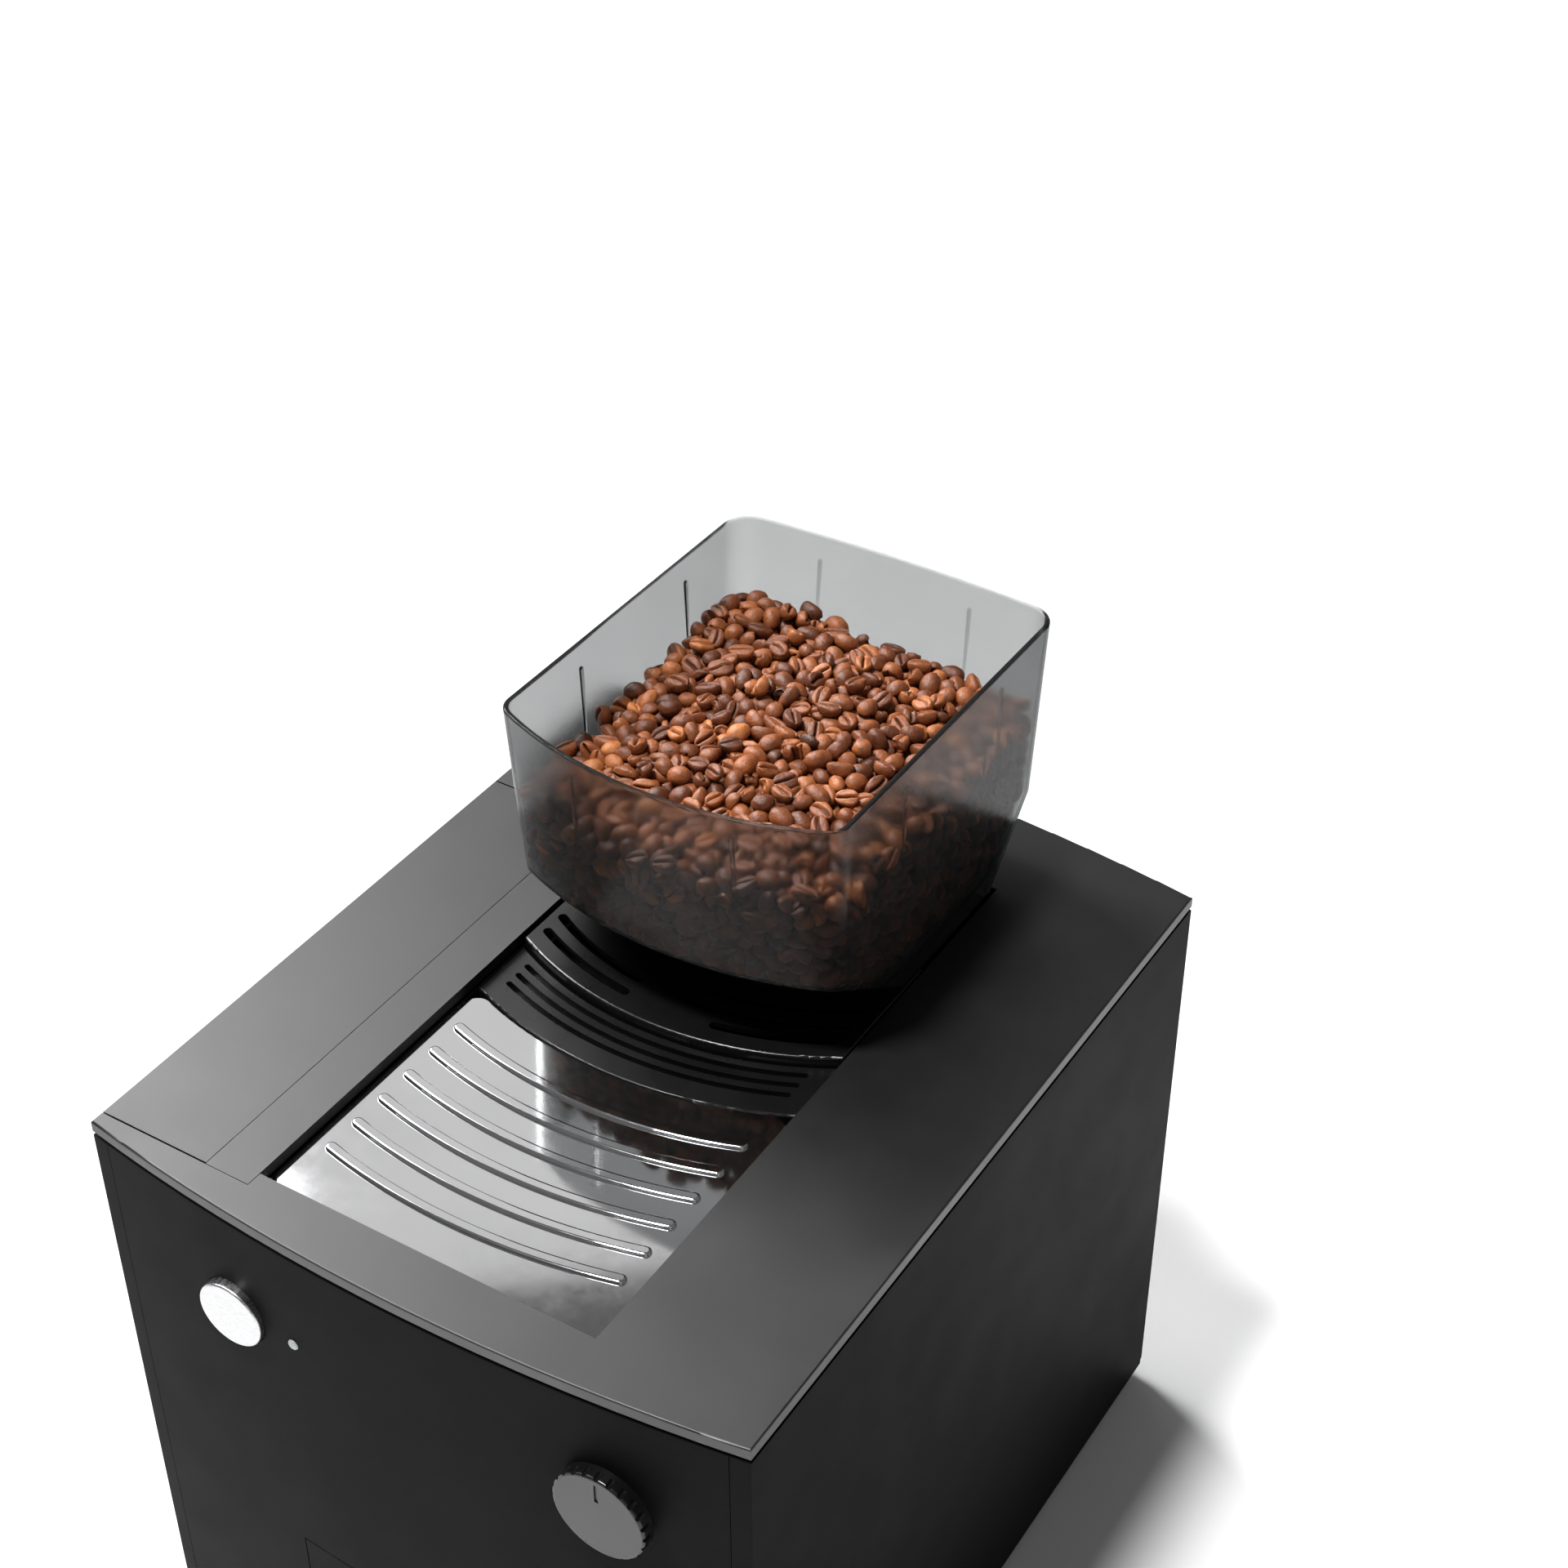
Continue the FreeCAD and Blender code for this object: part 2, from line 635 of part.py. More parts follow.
def hopper_screws():
    """Four screws that hold the guide to the hopper."""
    heads = []
    for x in (-27.5, 27.5):
        for d in (61.0, 121.0):
            heads.append(post(x, d, GUIDE_BOTTOM - 0.6, GUIDE_BOTTOM + 4, 2.2))
    return Part.makeCompound(heads)


def hopper_seal():
    """Soft ring between the recess tray and the guide."""
    return tube(0, THROAT_D, TRAY_TOP, GUIDE_BOTTOM - 0.3, THROAT + 6, THROAT + 9)


# ---------------------------------------------------------------- grinding gear


def feed_funnel():
    """Throat from the recess tray down to the burrs."""
    wall = tube(0, AXIS_D, TOP - 66.4, TRAY_TOP - 0.2, 22, 24.6)
    flange = tube(0, AXIS_D, TRAY_TOP - TRAY_PLATE - 3, TRAY_TOP - TRAY_PLATE, 22, 30)
    return join([wall, flange])


def ring_burr_holder():
    """Threaded sleeve that carries the ring burr and is keyed against turning."""
    upper = tube(0, AXIS_D, CHAMBER_TOP, TOP - 54, BURR_RADIUS, THREAD_RADIUS - RUNNING)
    lower = tube(0, AXIS_D, HOLDER_Z0, CHAMBER_TOP, BURR_RADIUS, HOLDER_RADIUS - RUNNING)
    key = box(-2.9, 2.9, AXIS_D - HOLDER_RADIUS - 2, AXIS_D - HOLDER_RADIUS + 2, TOP - 86, TOP - 70)
    key = key.cut(post(0, AXIS_D, 0, TOP, BURR_RADIUS + 1))
    return join([upper, lower, key])


def flutes(radius_top, radius_bottom, z0, z1, count, depth, lean):
    """Leaning V grooves round a burr cone, as cutters."""
    cutters = []
    for i in range(count):
        low = Vector(radius_bottom, 0, z0)
        high = Vector(radius_top, 0, z1)
        profile = [
            low + Vector(-depth, 0, 0),
            low + Vector(1.0, depth * 0.8, 0),
            low + Vector(1.0, -depth * 0.8, 0),
        ]
        lower_end = Part.makePolygon(profile + [profile[0]])
        upper_end = lower_end.copy()
        upper_end.translate(high - low)
        upper_end.rotate(Vector(0, 0, 0), Vector(0, 0, 1), lean)
        cutter = Part.makeLoft([lower_end, upper_end], True, True)
        cutter.rotate(Vector(0, 0, 0), Vector(0, 0, 1), 360.0 * i / count)
        cutter.translate(Vector(0, y_of(AXIS_D), 0))
        cutters.append(cutter)
    return Part.makeCompound(cutters)


def ring_burr():
    """Outer steel burr."""
    blank = post(0, AXIS_D, BURR_Z0, BURR_Z1, BURR_RADIUS - 0.02)
    bore = taper(0, AXIS_D, BURR_Z0 - 0.1, 22.9, BURR_Z1 + 0.1, 20.0)
    return blank.cut(bore)


def cone_burr():
    """Inner steel burr with leaning teeth."""
    cone = taper(0, AXIS_D, BURR_Z0 - 2, 22.1, BURR_Z1 + 5, 11.0)
    cone = cone.cut(flutes(11.0, 22.1, BURR_Z0 - 2.5, BURR_Z1 + 5.5, 12, 2.2, 25))
    return cone.cut(post(0, AXIS_D, 0, FAR, SHAFT))


def burr_screw():
    """Hexagon screw and washer on top of the cone burr."""
    washer = post(0, AXIS_D, BURR_Z1 + 5, BURR_Z1 + 6.2, 8)
    corners = []
    for i in range(7):
        angle = math.radians(60 * i)
        corners.append(Vector(5 * math.cos(angle), y_of(AXIS_D) + 5 * math.sin(angle), BURR_Z1 + 6))
    head = Part.Face(Part.makePolygon(corners)).extrude(Vector(0, 0, 3.4))
    return join([washer, head])


def sweeper():
    """Paddle wheel that pushes the grounds to the outlet."""
    disc = post(0, AXIS_D, TOP - 98.5, TOP - 97, 30)
    hub = post(0, AXIS_D, TOP - 98.5, BURR_Z0 - 2, 12)
    paddles = []
    for i in range(3):
        paddle = box(8, 34.5, AXIS_D - 2, AXIS_D + 2, TOP - 98.5, TOP - 91.5)
        paddle.rotate(Vector(0, y_of(AXIS_D), 0), Vector(0, 0, 1), 120 * i + 30)
        paddles.append(paddle)
    return join([disc, hub] + paddles).cut(post(0, AXIS_D, 0, FAR, SHAFT))


def burr_shaft():
    """Upright steel shaft through both gears' floor and the chamber."""
    return post(0, AXIS_D, CASE_BOTTOM + 2, BURR_Z1 + 5, SHAFT)


def shaft_bearings():
    """Upper and lower sintered bushes of the burr shaft."""
    upper = tube(0, AXIS_D, LID_Z0 + 0.2, CHAMBER_FLOOR - 0.2, SHAFT + RUNNING, 9)
    lower = tube(0, AXIS_D, CASE_BOTTOM + 3, CASE_BOTTOM + 9, SHAFT + RUNNING, 9)
    return Part.makeCompound([upper, lower])


def chamber():
    """Cast cup round the burrs, with the grounds outlet in front and an arm for the adjuster axles."""
    cup = post(0, AXIS_D, LID_Z1, CHAMBER_TOP, CHAMBER_RADIUS)
    lugs = box(-CHAMBER_RADIUS - 8, CHAMBER_RADIUS + 8, AXIS_D - 7, AXIS_D + 7, LID_Z1, LID_Z1 + 6)
    nose = box(-CHUTE_HALF, CHUTE_HALF, AXIS_D, AXIS_D + 50, LID_Z1, CHAMBER_TOP - 14)
    hollow = post(0, AXIS_D, CHAMBER_FLOOR, TOP, HOLDER_RADIUS)
    key_way = box(-3, 3, AXIS_D - HOLDER_RADIUS - 2.2, AXIS_D, TOP - 88, TOP)
    bush = post(0, AXIS_D, 0, TOP, 9)
    outlet = box(
        -CHUTE_HALF + 2.5, CHUTE_HALF - 2.5, AXIS_D + 20, AXIS_D + 60, CHAMBER_FLOOR, CHAMBER_FLOOR + 9
    )
    arm = box(WHEEL_X - 10, -CHAMBER_RADIUS + 4, AXIS_D - 10, AXIS_D + 10, TOP - 88, TOP - 84)
    return join([cup, lugs, nose, arm]).cut(join([hollow, key_way, bush, outlet]))


def adjusting_ring():
    """Geared nut that lifts and lowers the ring burr holder."""
    rim = gear(RING_TEETH, ADJUST_MODULE, 0, AXIS_D, RING_Z0, RING_Z1, THREAD_RADIUS, 180.0)
    windows = []
    for i in range(8):
        hole = post(41.5, AXIS_D, 0, TOP, 4.5)
        hole.rotate(Vector(0, y_of(AXIS_D), 0), Vector(0, 0, 1), 45 * i + 22.5)
        windows.append(hole)
    return rim.cut(Part.makeCompound(windows))


def adjuster_idler():
    """Idler between the wheel and the adjusting ring."""
    return gear(
        IDLER_TEETH, ADJUST_MODULE, IDLER_X, AXIS_D, RING_Z0, RING_Z1, 3.0 + RUNNING, 180.0 / IDLER_TEETH
    )


def adjuster_wheel():
    """Fineness wheel: gear above a grooved rim that shows in the left wall."""
    teeth = gear(WHEEL_TEETH, ADJUST_MODULE, WHEEL_X, AXIS_D, RING_Z0, RING_Z1, 3.0 + RUNNING, 0.0)
    rim = post(WHEEL_X, AXIS_D, TOP - 77, RING_Z0 - 0.5, WHEEL_RIM)
    neck = post(WHEEL_X, AXIS_D, RING_Z0 - 0.6, RING_Z0 + 0.1, 20)
    grips = []
    for i in range(36):
        grip = post(WHEEL_X + WHEEL_RIM + 0.6, AXIS_D, 0, TOP, 1.5)
        grip.rotate(Vector(WHEEL_X, y_of(AXIS_D), 0), Vector(0, 0, 1), 10 * i)
        grips.append(grip)
    bore = post(WHEEL_X, AXIS_D, 0, TOP, 3.0 + RUNNING)
    dish = taper(WHEEL_X, AXIS_D, TOP - 78, 30, TOP - 73, 26)
    rim = rim.cut(Part.makeCompound(grips)).cut(dish)
    return join([rim, neck, teeth]).cut(bore)


def gear_axles():
    """Fixed steel axles of the idler, the fineness wheel and the compound gear."""
    idler = post(IDLER_X, AXIS_D, TOP - 84, TOP - 53, 3.0)
    wheel = post(WHEEL_X, AXIS_D, TOP - 84, TOP - 53, 3.0)
    compound = post(COMPOUND_X, AXIS_D, CASE_BOTTOM + 3, LID_Z0 + 2, 3.0)
    return Part.makeCompound([idler, wheel, compound])


def stadium(x0, r0, x1, r1, z0, z1):
    """Upright block round two circles on the gear line."""
    shapes = [post(x0, AXIS_D, z0, z1, r0), post(x1, AXIS_D, z0, z1, r1)]
    span = x1 - x0
    lean = math.asin((r0 - r1) / span)
    points = []
    for x, r in ((x0, r0), (x1, r1)):
        for side in (-1, 1):
            points.append(Vector(x + r * math.sin(lean), y_of(AXIS_D) + side * r * math.cos(lean), z0))
    order = [points[0], points[2], points[3], points[1], points[0]]
    shapes.append(Part.Face(Part.makePolygon(order)).extrude(Vector(0, 0, z1 - z0)))
    return join(shapes)


def gearbox_case():
    """Cast tub round the reduction gears."""
    outer = stadium(0, 45, MOTOR_X, 34, CASE_BOTTOM, LID_Z0)
    inner = stadium(0, 45 - CASE_WALL, MOTOR_X, 34 - CASE_WALL, CASE_BOTTOM + CASE_WALL, LID_Z0 + 1)
    seat = post(0, AXIS_D, CASE_BOTTOM, CASE_BOTTOM + 9, 13)
    boss = post(COMPOUND_X, AXIS_D, CASE_BOTTOM, CASE_BOTTOM + 8, 8)
    case = join([outer.cut(inner), seat, boss])
    shaft_hole = post(0, AXIS_D, CASE_BOTTOM + 2, FAR, 9)
    axle_hole = post(COMPOUND_X, AXIS_D, CASE_BOTTOM + 3, FAR, 3.0)
    return case.cut(join([shaft_hole, axle_hole]))


def gearbox_lid():
    """Flat plate that closes the gearbox and carries chamber and motor."""
    plate = stadium(0, 54, MOTOR_X, 34, LID_Z0, LID_Z1)
    holes = [post(0, AXIS_D, 0, TOP, 9), post(MOTOR_X, AXIS_D, 0, TOP, 9.2)]
    holes.append(post(COMPOUND_X, AXIS_D, 0, LID_Z0 + 2, 3.0))
    return plate.cut(join(holes))


def final_gear():
    """Large gear on the burr shaft."""
    z0, z1 = FINAL_Z
    wheel = gear(FINAL_TEETH, DRIVE_MODULE, 0, AXIS_D, z0, z1, SHAFT, 0.0)
    pocket = tube(0, AXIS_D, z1 - 3, z1 + 1, 11, 31)
    return wheel.cut(pocket)


def compound_gear():
    """Small and large gear in one piece on the idler axle."""
    small = gear(
        SMALL_TEETH, DRIVE_MODULE, COMPOUND_X, AXIS_D, LARGE_Z[1] - 0.1, FINAL_Z[1] + 1, 3.0 + RUNNING, 189.0
    )
    large = gear(LARGE_TEETH, DRIVE_MODULE, COMPOUND_X, AXIS_D, *LARGE_Z, 3.0 + RUNNING, 0.0)
    return join([small, large])


def motor_pinion():
    """Steel pinion pressed on the motor shaft."""
    return gear(PINION_TEETH, DRIVE_MODULE, MOTOR_X, AXIS_D, *LARGE_Z, 2.5, 195.0)


def motor_rotor():
    """Motor shaft with its wound armature and commutator."""
    shaft = post(MOTOR_X, AXIS_D, CASE_BOTTOM + 6, MOTOR_TOP + 1, 2.5)
    stack = post(MOTOR_X, AXIS_D, TOP - 92, TOP - 52, 17)
    slots = []
    for i in range(7):
        slot = box(MOTOR_X + 10, MOTOR_X + 20, AXIS_D - 1.5, AXIS_D + 1.5, TOP - 93, TOP - 51)
        slot.rotate(Vector(MOTOR_X, y_of(AXIS_D), 0), Vector(0, 0, 1), 360.0 * i / 7)
        slots.append(slot)
    stack = stack.cut(Part.makeCompound(slots))
    commutator = post(MOTOR_X, AXIS_D, TOP - 47, TOP - 36, 8)
    return join([shaft, stack, commutator])


def motor_can():
    """Steel can with two magnets glued inside and a boss at its foot."""
    can = post(MOTOR_X, AXIS_D, LID_Z1, MOTOR_TOP - 4, MOTOR_RADIUS)
    hollow = post(MOTOR_X, AXIS_D, LID_Z1 + 3, MOTOR_TOP, MOTOR_RADIUS - 2)
    nose = post(MOTOR_X, AXIS_D, LID_Z0, LID_Z1 + 3, 9)
    hole = post(MOTOR_X, AXIS_D, 0, TOP, 2.5 + RUNNING)
    field = tube(MOTOR_X, AXIS_D, TOP - 94, TOP - 50, 18.5, MOTOR_RADIUS - 1)
    gap = box(MOTOR_X - 40, MOTOR_X + 40, AXIS_D - 8, AXIS_D + 8, 0, TOP)
    return join([can.cut(hollow), nose, field.cut(gap)]).cut(hole)


def motor_cap():
    """Plastic end cap with the upper bearing seat and brush holders."""
    cap = post(MOTOR_X, AXIS_D, MOTOR_TOP - 4, MOTOR_TOP, MOTOR_RADIUS)
    seat = post(MOTOR_X, AXIS_D, MOTOR_TOP - 10, MOTOR_TOP + 2, 8)
    holders = box(MOTOR_X - 22, MOTOR_X - 9, AXIS_D - 5, AXIS_D + 5, MOTOR_TOP - 14, MOTOR_TOP)
    other = box(MOTOR_X + 9, MOTOR_X + 22, AXIS_D - 5, AXIS_D + 5, MOTOR_TOP - 14, MOTOR_TOP)
    return join([cap, seat, holders, other]).cut(post(MOTOR_X, AXIS_D, 0, MOTOR_TOP + 1.2, 2.5 + RUNNING))


def chassis():
    """Steel bridge that stands on the pan and carries the grinder."""
    deck = box(-52, 126, AXIS_D - 36, AXIS_D + 36, CASE_BOTTOM - 14, CASE_BOTTOM - 11.5)
    legs = [
        box(-52, -49.5, AXIS_D - 36, AXIS_D + 36, PAN_TOP, CASE_BOTTOM - 12),
        box(123.5, 126, AXIS_D - 36, AXIS_D + 36, PAN_TOP, CASE_BOTTOM - 12),
    ]
    flanges = [
        box(-66, -50, AXIS_D - 36, AXIS_D + 36, PAN_TOP, PAN_TOP + 2.5),
        box(124, 140, AXIS_D - 36, AXIS_D + 36, PAN_TOP, PAN_TOP + 2.5),
    ]
    return join([deck] + legs + flanges)


def vibration_mounts():
    """Four rubber blocks between the chassis and the gearbox."""
    blocks = []
    for x in (-20.0, MOTOR_X):
        for side in (-22.0, 22.0):
            blocks.append(post(x, AXIS_D + side, CASE_BOTTOM - 11.5, CASE_BOTTOM, 7))
    return Part.makeCompound(blocks)


# ---------------------------------------------------------------- grounds side


def chute_profile(offset):
    """Side outline of the chute, drawn in by offset."""
    start = AXIS_D + 50.2
    end = 268.0
    top = TOP - 88 - offset
    bottom = CHAMBER_FLOOR - 3 + offset
    drop = TOP - 165
    return [
        Vector(0, y_of(start - offset * 4), top),
        Vector(0, y_of(start - offset * 4), bottom),
        Vector(0, y_of(end - 22 + offset), drop + 8 + offset),
        Vector(0, y_of(end - 22 + offset), DRAWER_Z1 + 2 - offset * 4),
        Vector(0, y_of(end - offset), DRAWER_Z1 + 2 - offset * 4),
        Vector(0, y_of(end - offset), drop + 20 - offset),
        Vector(0, y_of(start + 12), top),
    ]


def chute():
    """Square duct from the chamber outlet down into the drawer."""
    outer = chute_profile(0)
    inner = chute_profile(CHUTE_WALL)
    solids = []
    for points, half in ((outer, CHUTE_HALF), (inner, CHUTE_HALF - CHUTE_WALL)):
        face = Part.Face(Part.makePolygon(points + [points[0]]))
        solid = face.extrude(Vector(2 * half, 0, 0))
        solid.translate(Vector(-half, 0, 0))
        solids.append(solid)
    return solids[0].cut(solids[1])


def drawer_guide():
    """Liner of the drawer bay: floor, sides and back."""
    liner = box(-BAY_HALF - 2, BAY_HALF + 2, DRAWER_BACK - 6, 354, FRONT_Z0 + 0.4, DRAWER_Z1 - 6)
    hollow = box(-BAY_HALF, BAY_HALF, DRAWER_BACK - 4, 355, FRONT_Z0 + 2.4, DRAWER_Z1)
    legs = [
        box(x, x + 4, d, d + 8, PAN_TOP, FRONT_Z0 + 1) for x in (-50, 46) for d in (DRAWER_BACK, 338)
    ]
    return join([liner.cut(hollow)] + legs)


def grounds_drawer():
    """Open box that catches the grounds."""
    outside = box(-DRAWER_HALF, DRAWER_HALF, DRAWER_BACK, DRAWER_FRONT - 4, FRONT_Z0 + 2.8, DRAWER_Z1)
    inside = box(
        -DRAWER_HALF + 2.5,
        DRAWER_HALF - 2.5,
        DRAWER_BACK + 2.5,
        DRAWER_FRONT - 6.5,
        FRONT_Z0 + 5.3,
        DRAWER_Z1 + 1,
    )
    return rounded(outside, 8, is_upright).cut(rounded(inside, 6, is_upright))


def drawer_front():
    """Bowed front of the drawer with a grip pocket."""
    plate = plan_block(0, FRONT_Z0, FRONT_Z1).cut(plan_block(WALL, 0, TOP))
    plate = plate.common(box(-FRONT_HALF, FRONT_HALF, 330, DEPTH, 0, TOP))
    pocket_wall = box(-35, 35, DRAWER_FRONT - 4, DEPTH - 1.5, 70, 104)
    pocket = box(-33, 33, DRAWER_FRONT - 2, DEPTH + 1, 72, 102)
    posts = [
        box(-50, -40, DRAWER_FRONT - 4, DEPTH - 3.0, 30, 100),
        box(40, 50, DRAWER_FRONT - 4, DEPTH - 3.0, 30, 100),
    ]
    return join([plate, pocket_wall] + posts).cut(pocket)


def drawer_grip():
    """Round steel bar across the grip pocket."""
    return Part.makeCylinder(3.5, 66, Vector(-33, y_of(DEPTH - 5.5), 96), Vector(1, 0, 0))


# ---------------------------------------------------------------- controls and power


def start_button():
    """Round push button with a collar behind the wall."""
    cap = rod(BUTTON_X, CONTROL_Z, button_face(BUTTON_X) - 6, button_face(BUTTON_X) + 6.5, BUTTON_RADIUS)
    cap = rounded(cap, 1.0, lambda edge: edge.BoundBox.YMax < y_of(button_face(BUTTON_X) + 6))
    collar = rod(
        BUTTON_X,
        CONTROL_Z,
        button_face(BUTTON_X) - 6,
        button_face(BUTTON_X) - 4.5,
        BUTTON_RADIUS + BUTTON_COLLAR,
    )
    stem = rod(BUTTON_X, CONTROL_Z, button_face(BUTTON_X) - 12, button_face(BUTTON_X) - 6, 3)
    return join([cap, collar, stem])


def button_spring():
    """Rubber bellows that pushes the start button back out."""
    inside = button_face(BUTTON_X)
    pitch = (BELLOWS_BACK - BELLOWS_FRONT) / (2 * BELLOWS_FOLDS)
    outer = []
    for i in range(2 * BELLOWS_FOLDS + 1):
        radius = BELLOWS_INNER + BELLOWS_FOLD * (i % 2)
        outer.append(Vector(BELLOWS_WALL + radius, y_of(inside - BELLOWS_BACK + i * pitch), 0))
    inner = [point - Vector(BELLOWS_WALL, 0, 0) for point in outer]
    loop = outer + inner[::-1] + [outer[0]]
    bellows = Part.Face(Part.makePolygon(loop)).revolve(Vector(0, 0, 0), Vector(0, 1, 0), 360)
    bellows.translate(Vector(BUTTON_X, 0, CONTROL_Z))
    return bellows


def dose_dial():
    """Ribbed dial with a spindle through the front wall."""
    face = front_depth(DIAL_X - DIAL_RADIUS)
    knob = rod(DIAL_X, CONTROL_Z, face + 0.4, face + 6.5, DIAL_RADIUS)
    knob = rounded(knob, 1.2, lambda edge: edge.BoundBox.YMax < y_of(face + 6))
    notches = []
    for i in range(24):
        notch = rod(DIAL_X + DIAL_RADIUS + 0.4, CONTROL_Z, face + 2.5, face + 10, 1.2)
        notch.rotate(Vector(DIAL_X, 0, CONTROL_Z), Vector(0, 1, 0), 15 * i)
        notches.append(notch)
    mark = box(DIAL_X - 0.8, DIAL_X + 0.8, face + 5.9, face + 8, CONTROL_Z + 8, CONTROL_Z + DIAL_RADIUS - 3)
    spindle = rod(DIAL_X, CONTROL_Z, face - 12, face + 1, 3.0)
    return join([knob.cut(Part.makeCompound(notches)).cut(mark), spindle])


def dial_encoder():
    """Encoder that the dial's spindle turns in."""
    back = front_depth(DIAL_X) - WALL - 1
    body = box(DIAL_X - 8, DIAL_X + 8, back - 10, back, CONTROL_Z - 8, CONTROL_Z + 8)
    return body.cut(rod(DIAL_X, CONTROL_Z, back - 9.9, back + 1, 3.0 + RUNNING))


def indicator_lens():
    """Small lens of the ready lamp."""
    face = front_depth(LENS_X)
    lens = rod(LENS_X, CONTROL_Z, face - 8, face + 0.6, 2.4)
    return rounded(lens, 0.8, lambda edge: edge.BoundBox.YMax < y_of(face))


def circuit_board():
    """Control board with relay, transformer and capacitors."""
    d = 300.0
    board = box(-138, -64, d, d + 1.6, 40, 150)
    parts = [
        box(-132, -100, d - 26, d + 0.5, 46, 74),
        box(-92, -76, d - 16, d + 0.5, 48, 78),
        Part.makeCylinder(8, 22, Vector(-120, y_of(d + 0.5), 100), Vector(0, 1, 0)),
        Part.makeCylinder(5, 14, Vector(-98, y_of(d + 0.5), 104), Vector(0, 1, 0)),
        box(-90, -72, d - 8, d + 0.5, 120, 136),
    ]
    return join([board] + parts)


def switch_body():
    """Housing of the rear rocker switch."""
    frame = box(-124, -98, -0.5 + rear_sag(-111), rear_sag(-111) + 1.0, 78, 97)
    body = box(-121.5, -100.5, rear_sag(-111) + 0.5, rear_sag(-111) + 20, 80.5, 94.5)
    cavity = box(-119.5, -102.5, -5, rear_sag(-111) + 9, 81.5, 93.5)
    return join([frame, body]).cut(cavity)


def rocker_switch():
    """Rocker of the power switch, off at rest."""
    rocker = box(-119, -103, rear_sag(-111) - 0.8, rear_sag(-111) + 4.0, 82.4, 92.6)
    rocker = rounded(rocker, 1.0, lambda edge: edge.BoundBox.XLength > 10)
    rocker.rotate(Vector(0, y_of(rear_sag(-111) + 3.5), 87.5), Vector(1, 0, 0), 7)
    return rocker


def mains_inlet():
    """Socket for a detachable mains lead, with three flat pins."""
    d = rear_sag(-111)
    flange = box(-128, -94, d - 0.5, d + 1.0, 33, 63)
    body = box(-124.5, -97.5, d + 0.5, d + 26, 36.5, 59.5)
    cavity = box(-122.5, -99.5, d - 2, d + 17, 39.5, 56.5)
    socket = join([flange, body]).cut(cavity)
    pins = []
    for x, z in ((-117, 45.5), (-105, 45.5), (-111, 49.5)):
        pins.append(box(x - 1.0, x + 1.0, d + 3, d + 20, z - 2, z + 2))
    return join([socket] + pins)


PARTS = [
    base_pan,
    rubber_feet,
    case_screws,
    left_side_panel,
    right_side_panel,
    rear_panel,
    front_panel,
    top_cover,
    left_strip,
    rear_left_cover,
    left_lid,
    lid_rod,
    storage_bin,
    recess_tray,
    vent_panel,
    louvre_ring,
    cup_plate,
    hopper,
    bean_fill,
    gate_guide,
    gate_plate,
    hopper_screws,
    hopper_seal,
    feed_funnel,
    ring_burr_holder,
    ring_burr,
    cone_burr,
    burr_screw,
    sweeper,
    burr_shaft,
    shaft_bearings,
    chamber,
    adjusting_ring,
    adjuster_idler,
    adjuster_wheel,
    gear_axles,
    gearbox_case,
    gearbox_lid,
    final_gear,
    compound_gear,
    motor_pinion,
    motor_rotor,
    motor_can,
    motor_cap,
    chassis,
    vibration_mounts,
    chute,
    drawer_guide,
    grounds_drawer,
    drawer_front,
    drawer_grip,
    start_button,
    button_spring,
    dose_dial,
    dial_encoder,
    indicator_lens,
    circuit_board,
    switch_body,
    rocker_switch,
    mains_inlet,
]


def main():
    os.makedirs("parts", exist_ok=True)
    for make in PARTS:
        shape = make()
        if not shape.isValid():
            print("not valid:", make.__name__)
        print(make.__name__, len(shape.Solids), round(shape.Volume / 1000, 1), "cm3")
        shape.exportStep(os.path.join("parts", make.__name__ + ".step"))


main()
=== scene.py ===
"""Looks of the burr coffee grinder: roasted beans, materials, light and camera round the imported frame.

Metres, the frame's own axes: front faces -Y, +Z up, floor at z = 0.
"""

import json
import math
import random

import bmesh
import bpy
import numpy as np
from mathutils import Matrix, Vector
from mathutils.bvhtree import BVHTree


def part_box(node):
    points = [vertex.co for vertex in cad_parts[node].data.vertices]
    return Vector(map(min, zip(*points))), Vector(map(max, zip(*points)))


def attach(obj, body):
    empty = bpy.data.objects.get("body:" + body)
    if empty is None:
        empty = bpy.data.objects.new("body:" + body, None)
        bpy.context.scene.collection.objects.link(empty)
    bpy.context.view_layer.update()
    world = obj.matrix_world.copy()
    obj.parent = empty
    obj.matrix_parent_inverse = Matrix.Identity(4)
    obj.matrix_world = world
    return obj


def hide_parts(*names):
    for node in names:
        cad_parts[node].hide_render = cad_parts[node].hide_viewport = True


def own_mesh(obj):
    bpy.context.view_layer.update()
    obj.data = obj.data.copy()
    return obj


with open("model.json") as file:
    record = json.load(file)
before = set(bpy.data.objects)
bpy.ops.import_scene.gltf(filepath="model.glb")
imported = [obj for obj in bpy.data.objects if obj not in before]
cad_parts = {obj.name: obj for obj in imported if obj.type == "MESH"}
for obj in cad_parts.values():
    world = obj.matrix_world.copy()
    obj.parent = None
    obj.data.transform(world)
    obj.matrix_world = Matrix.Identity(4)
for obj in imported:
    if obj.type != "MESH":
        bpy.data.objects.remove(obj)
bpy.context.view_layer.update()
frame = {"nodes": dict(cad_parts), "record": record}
nodes = frame["nodes"]

MM = 0.001
SEED = 7

# Camera, as the picture was taken; its place is counted from the middle of the top cover's rear edge
CAMERA_AZIMUTH = math.radians(32.22)
CAMERA_ELEVATION = math.radians(36.77)
CAMERA_ROLL = math.radians(-0.26)
CAMERA_FROM_REAR_TOP = Vector((0.4766, -0.8530, 0.7225))
LENS = 62.17
SENSOR = 36.0

# Range where most of a noise texture's values lie
NOISE_LOW = 0.3
NOISE_HIGH = 0.7

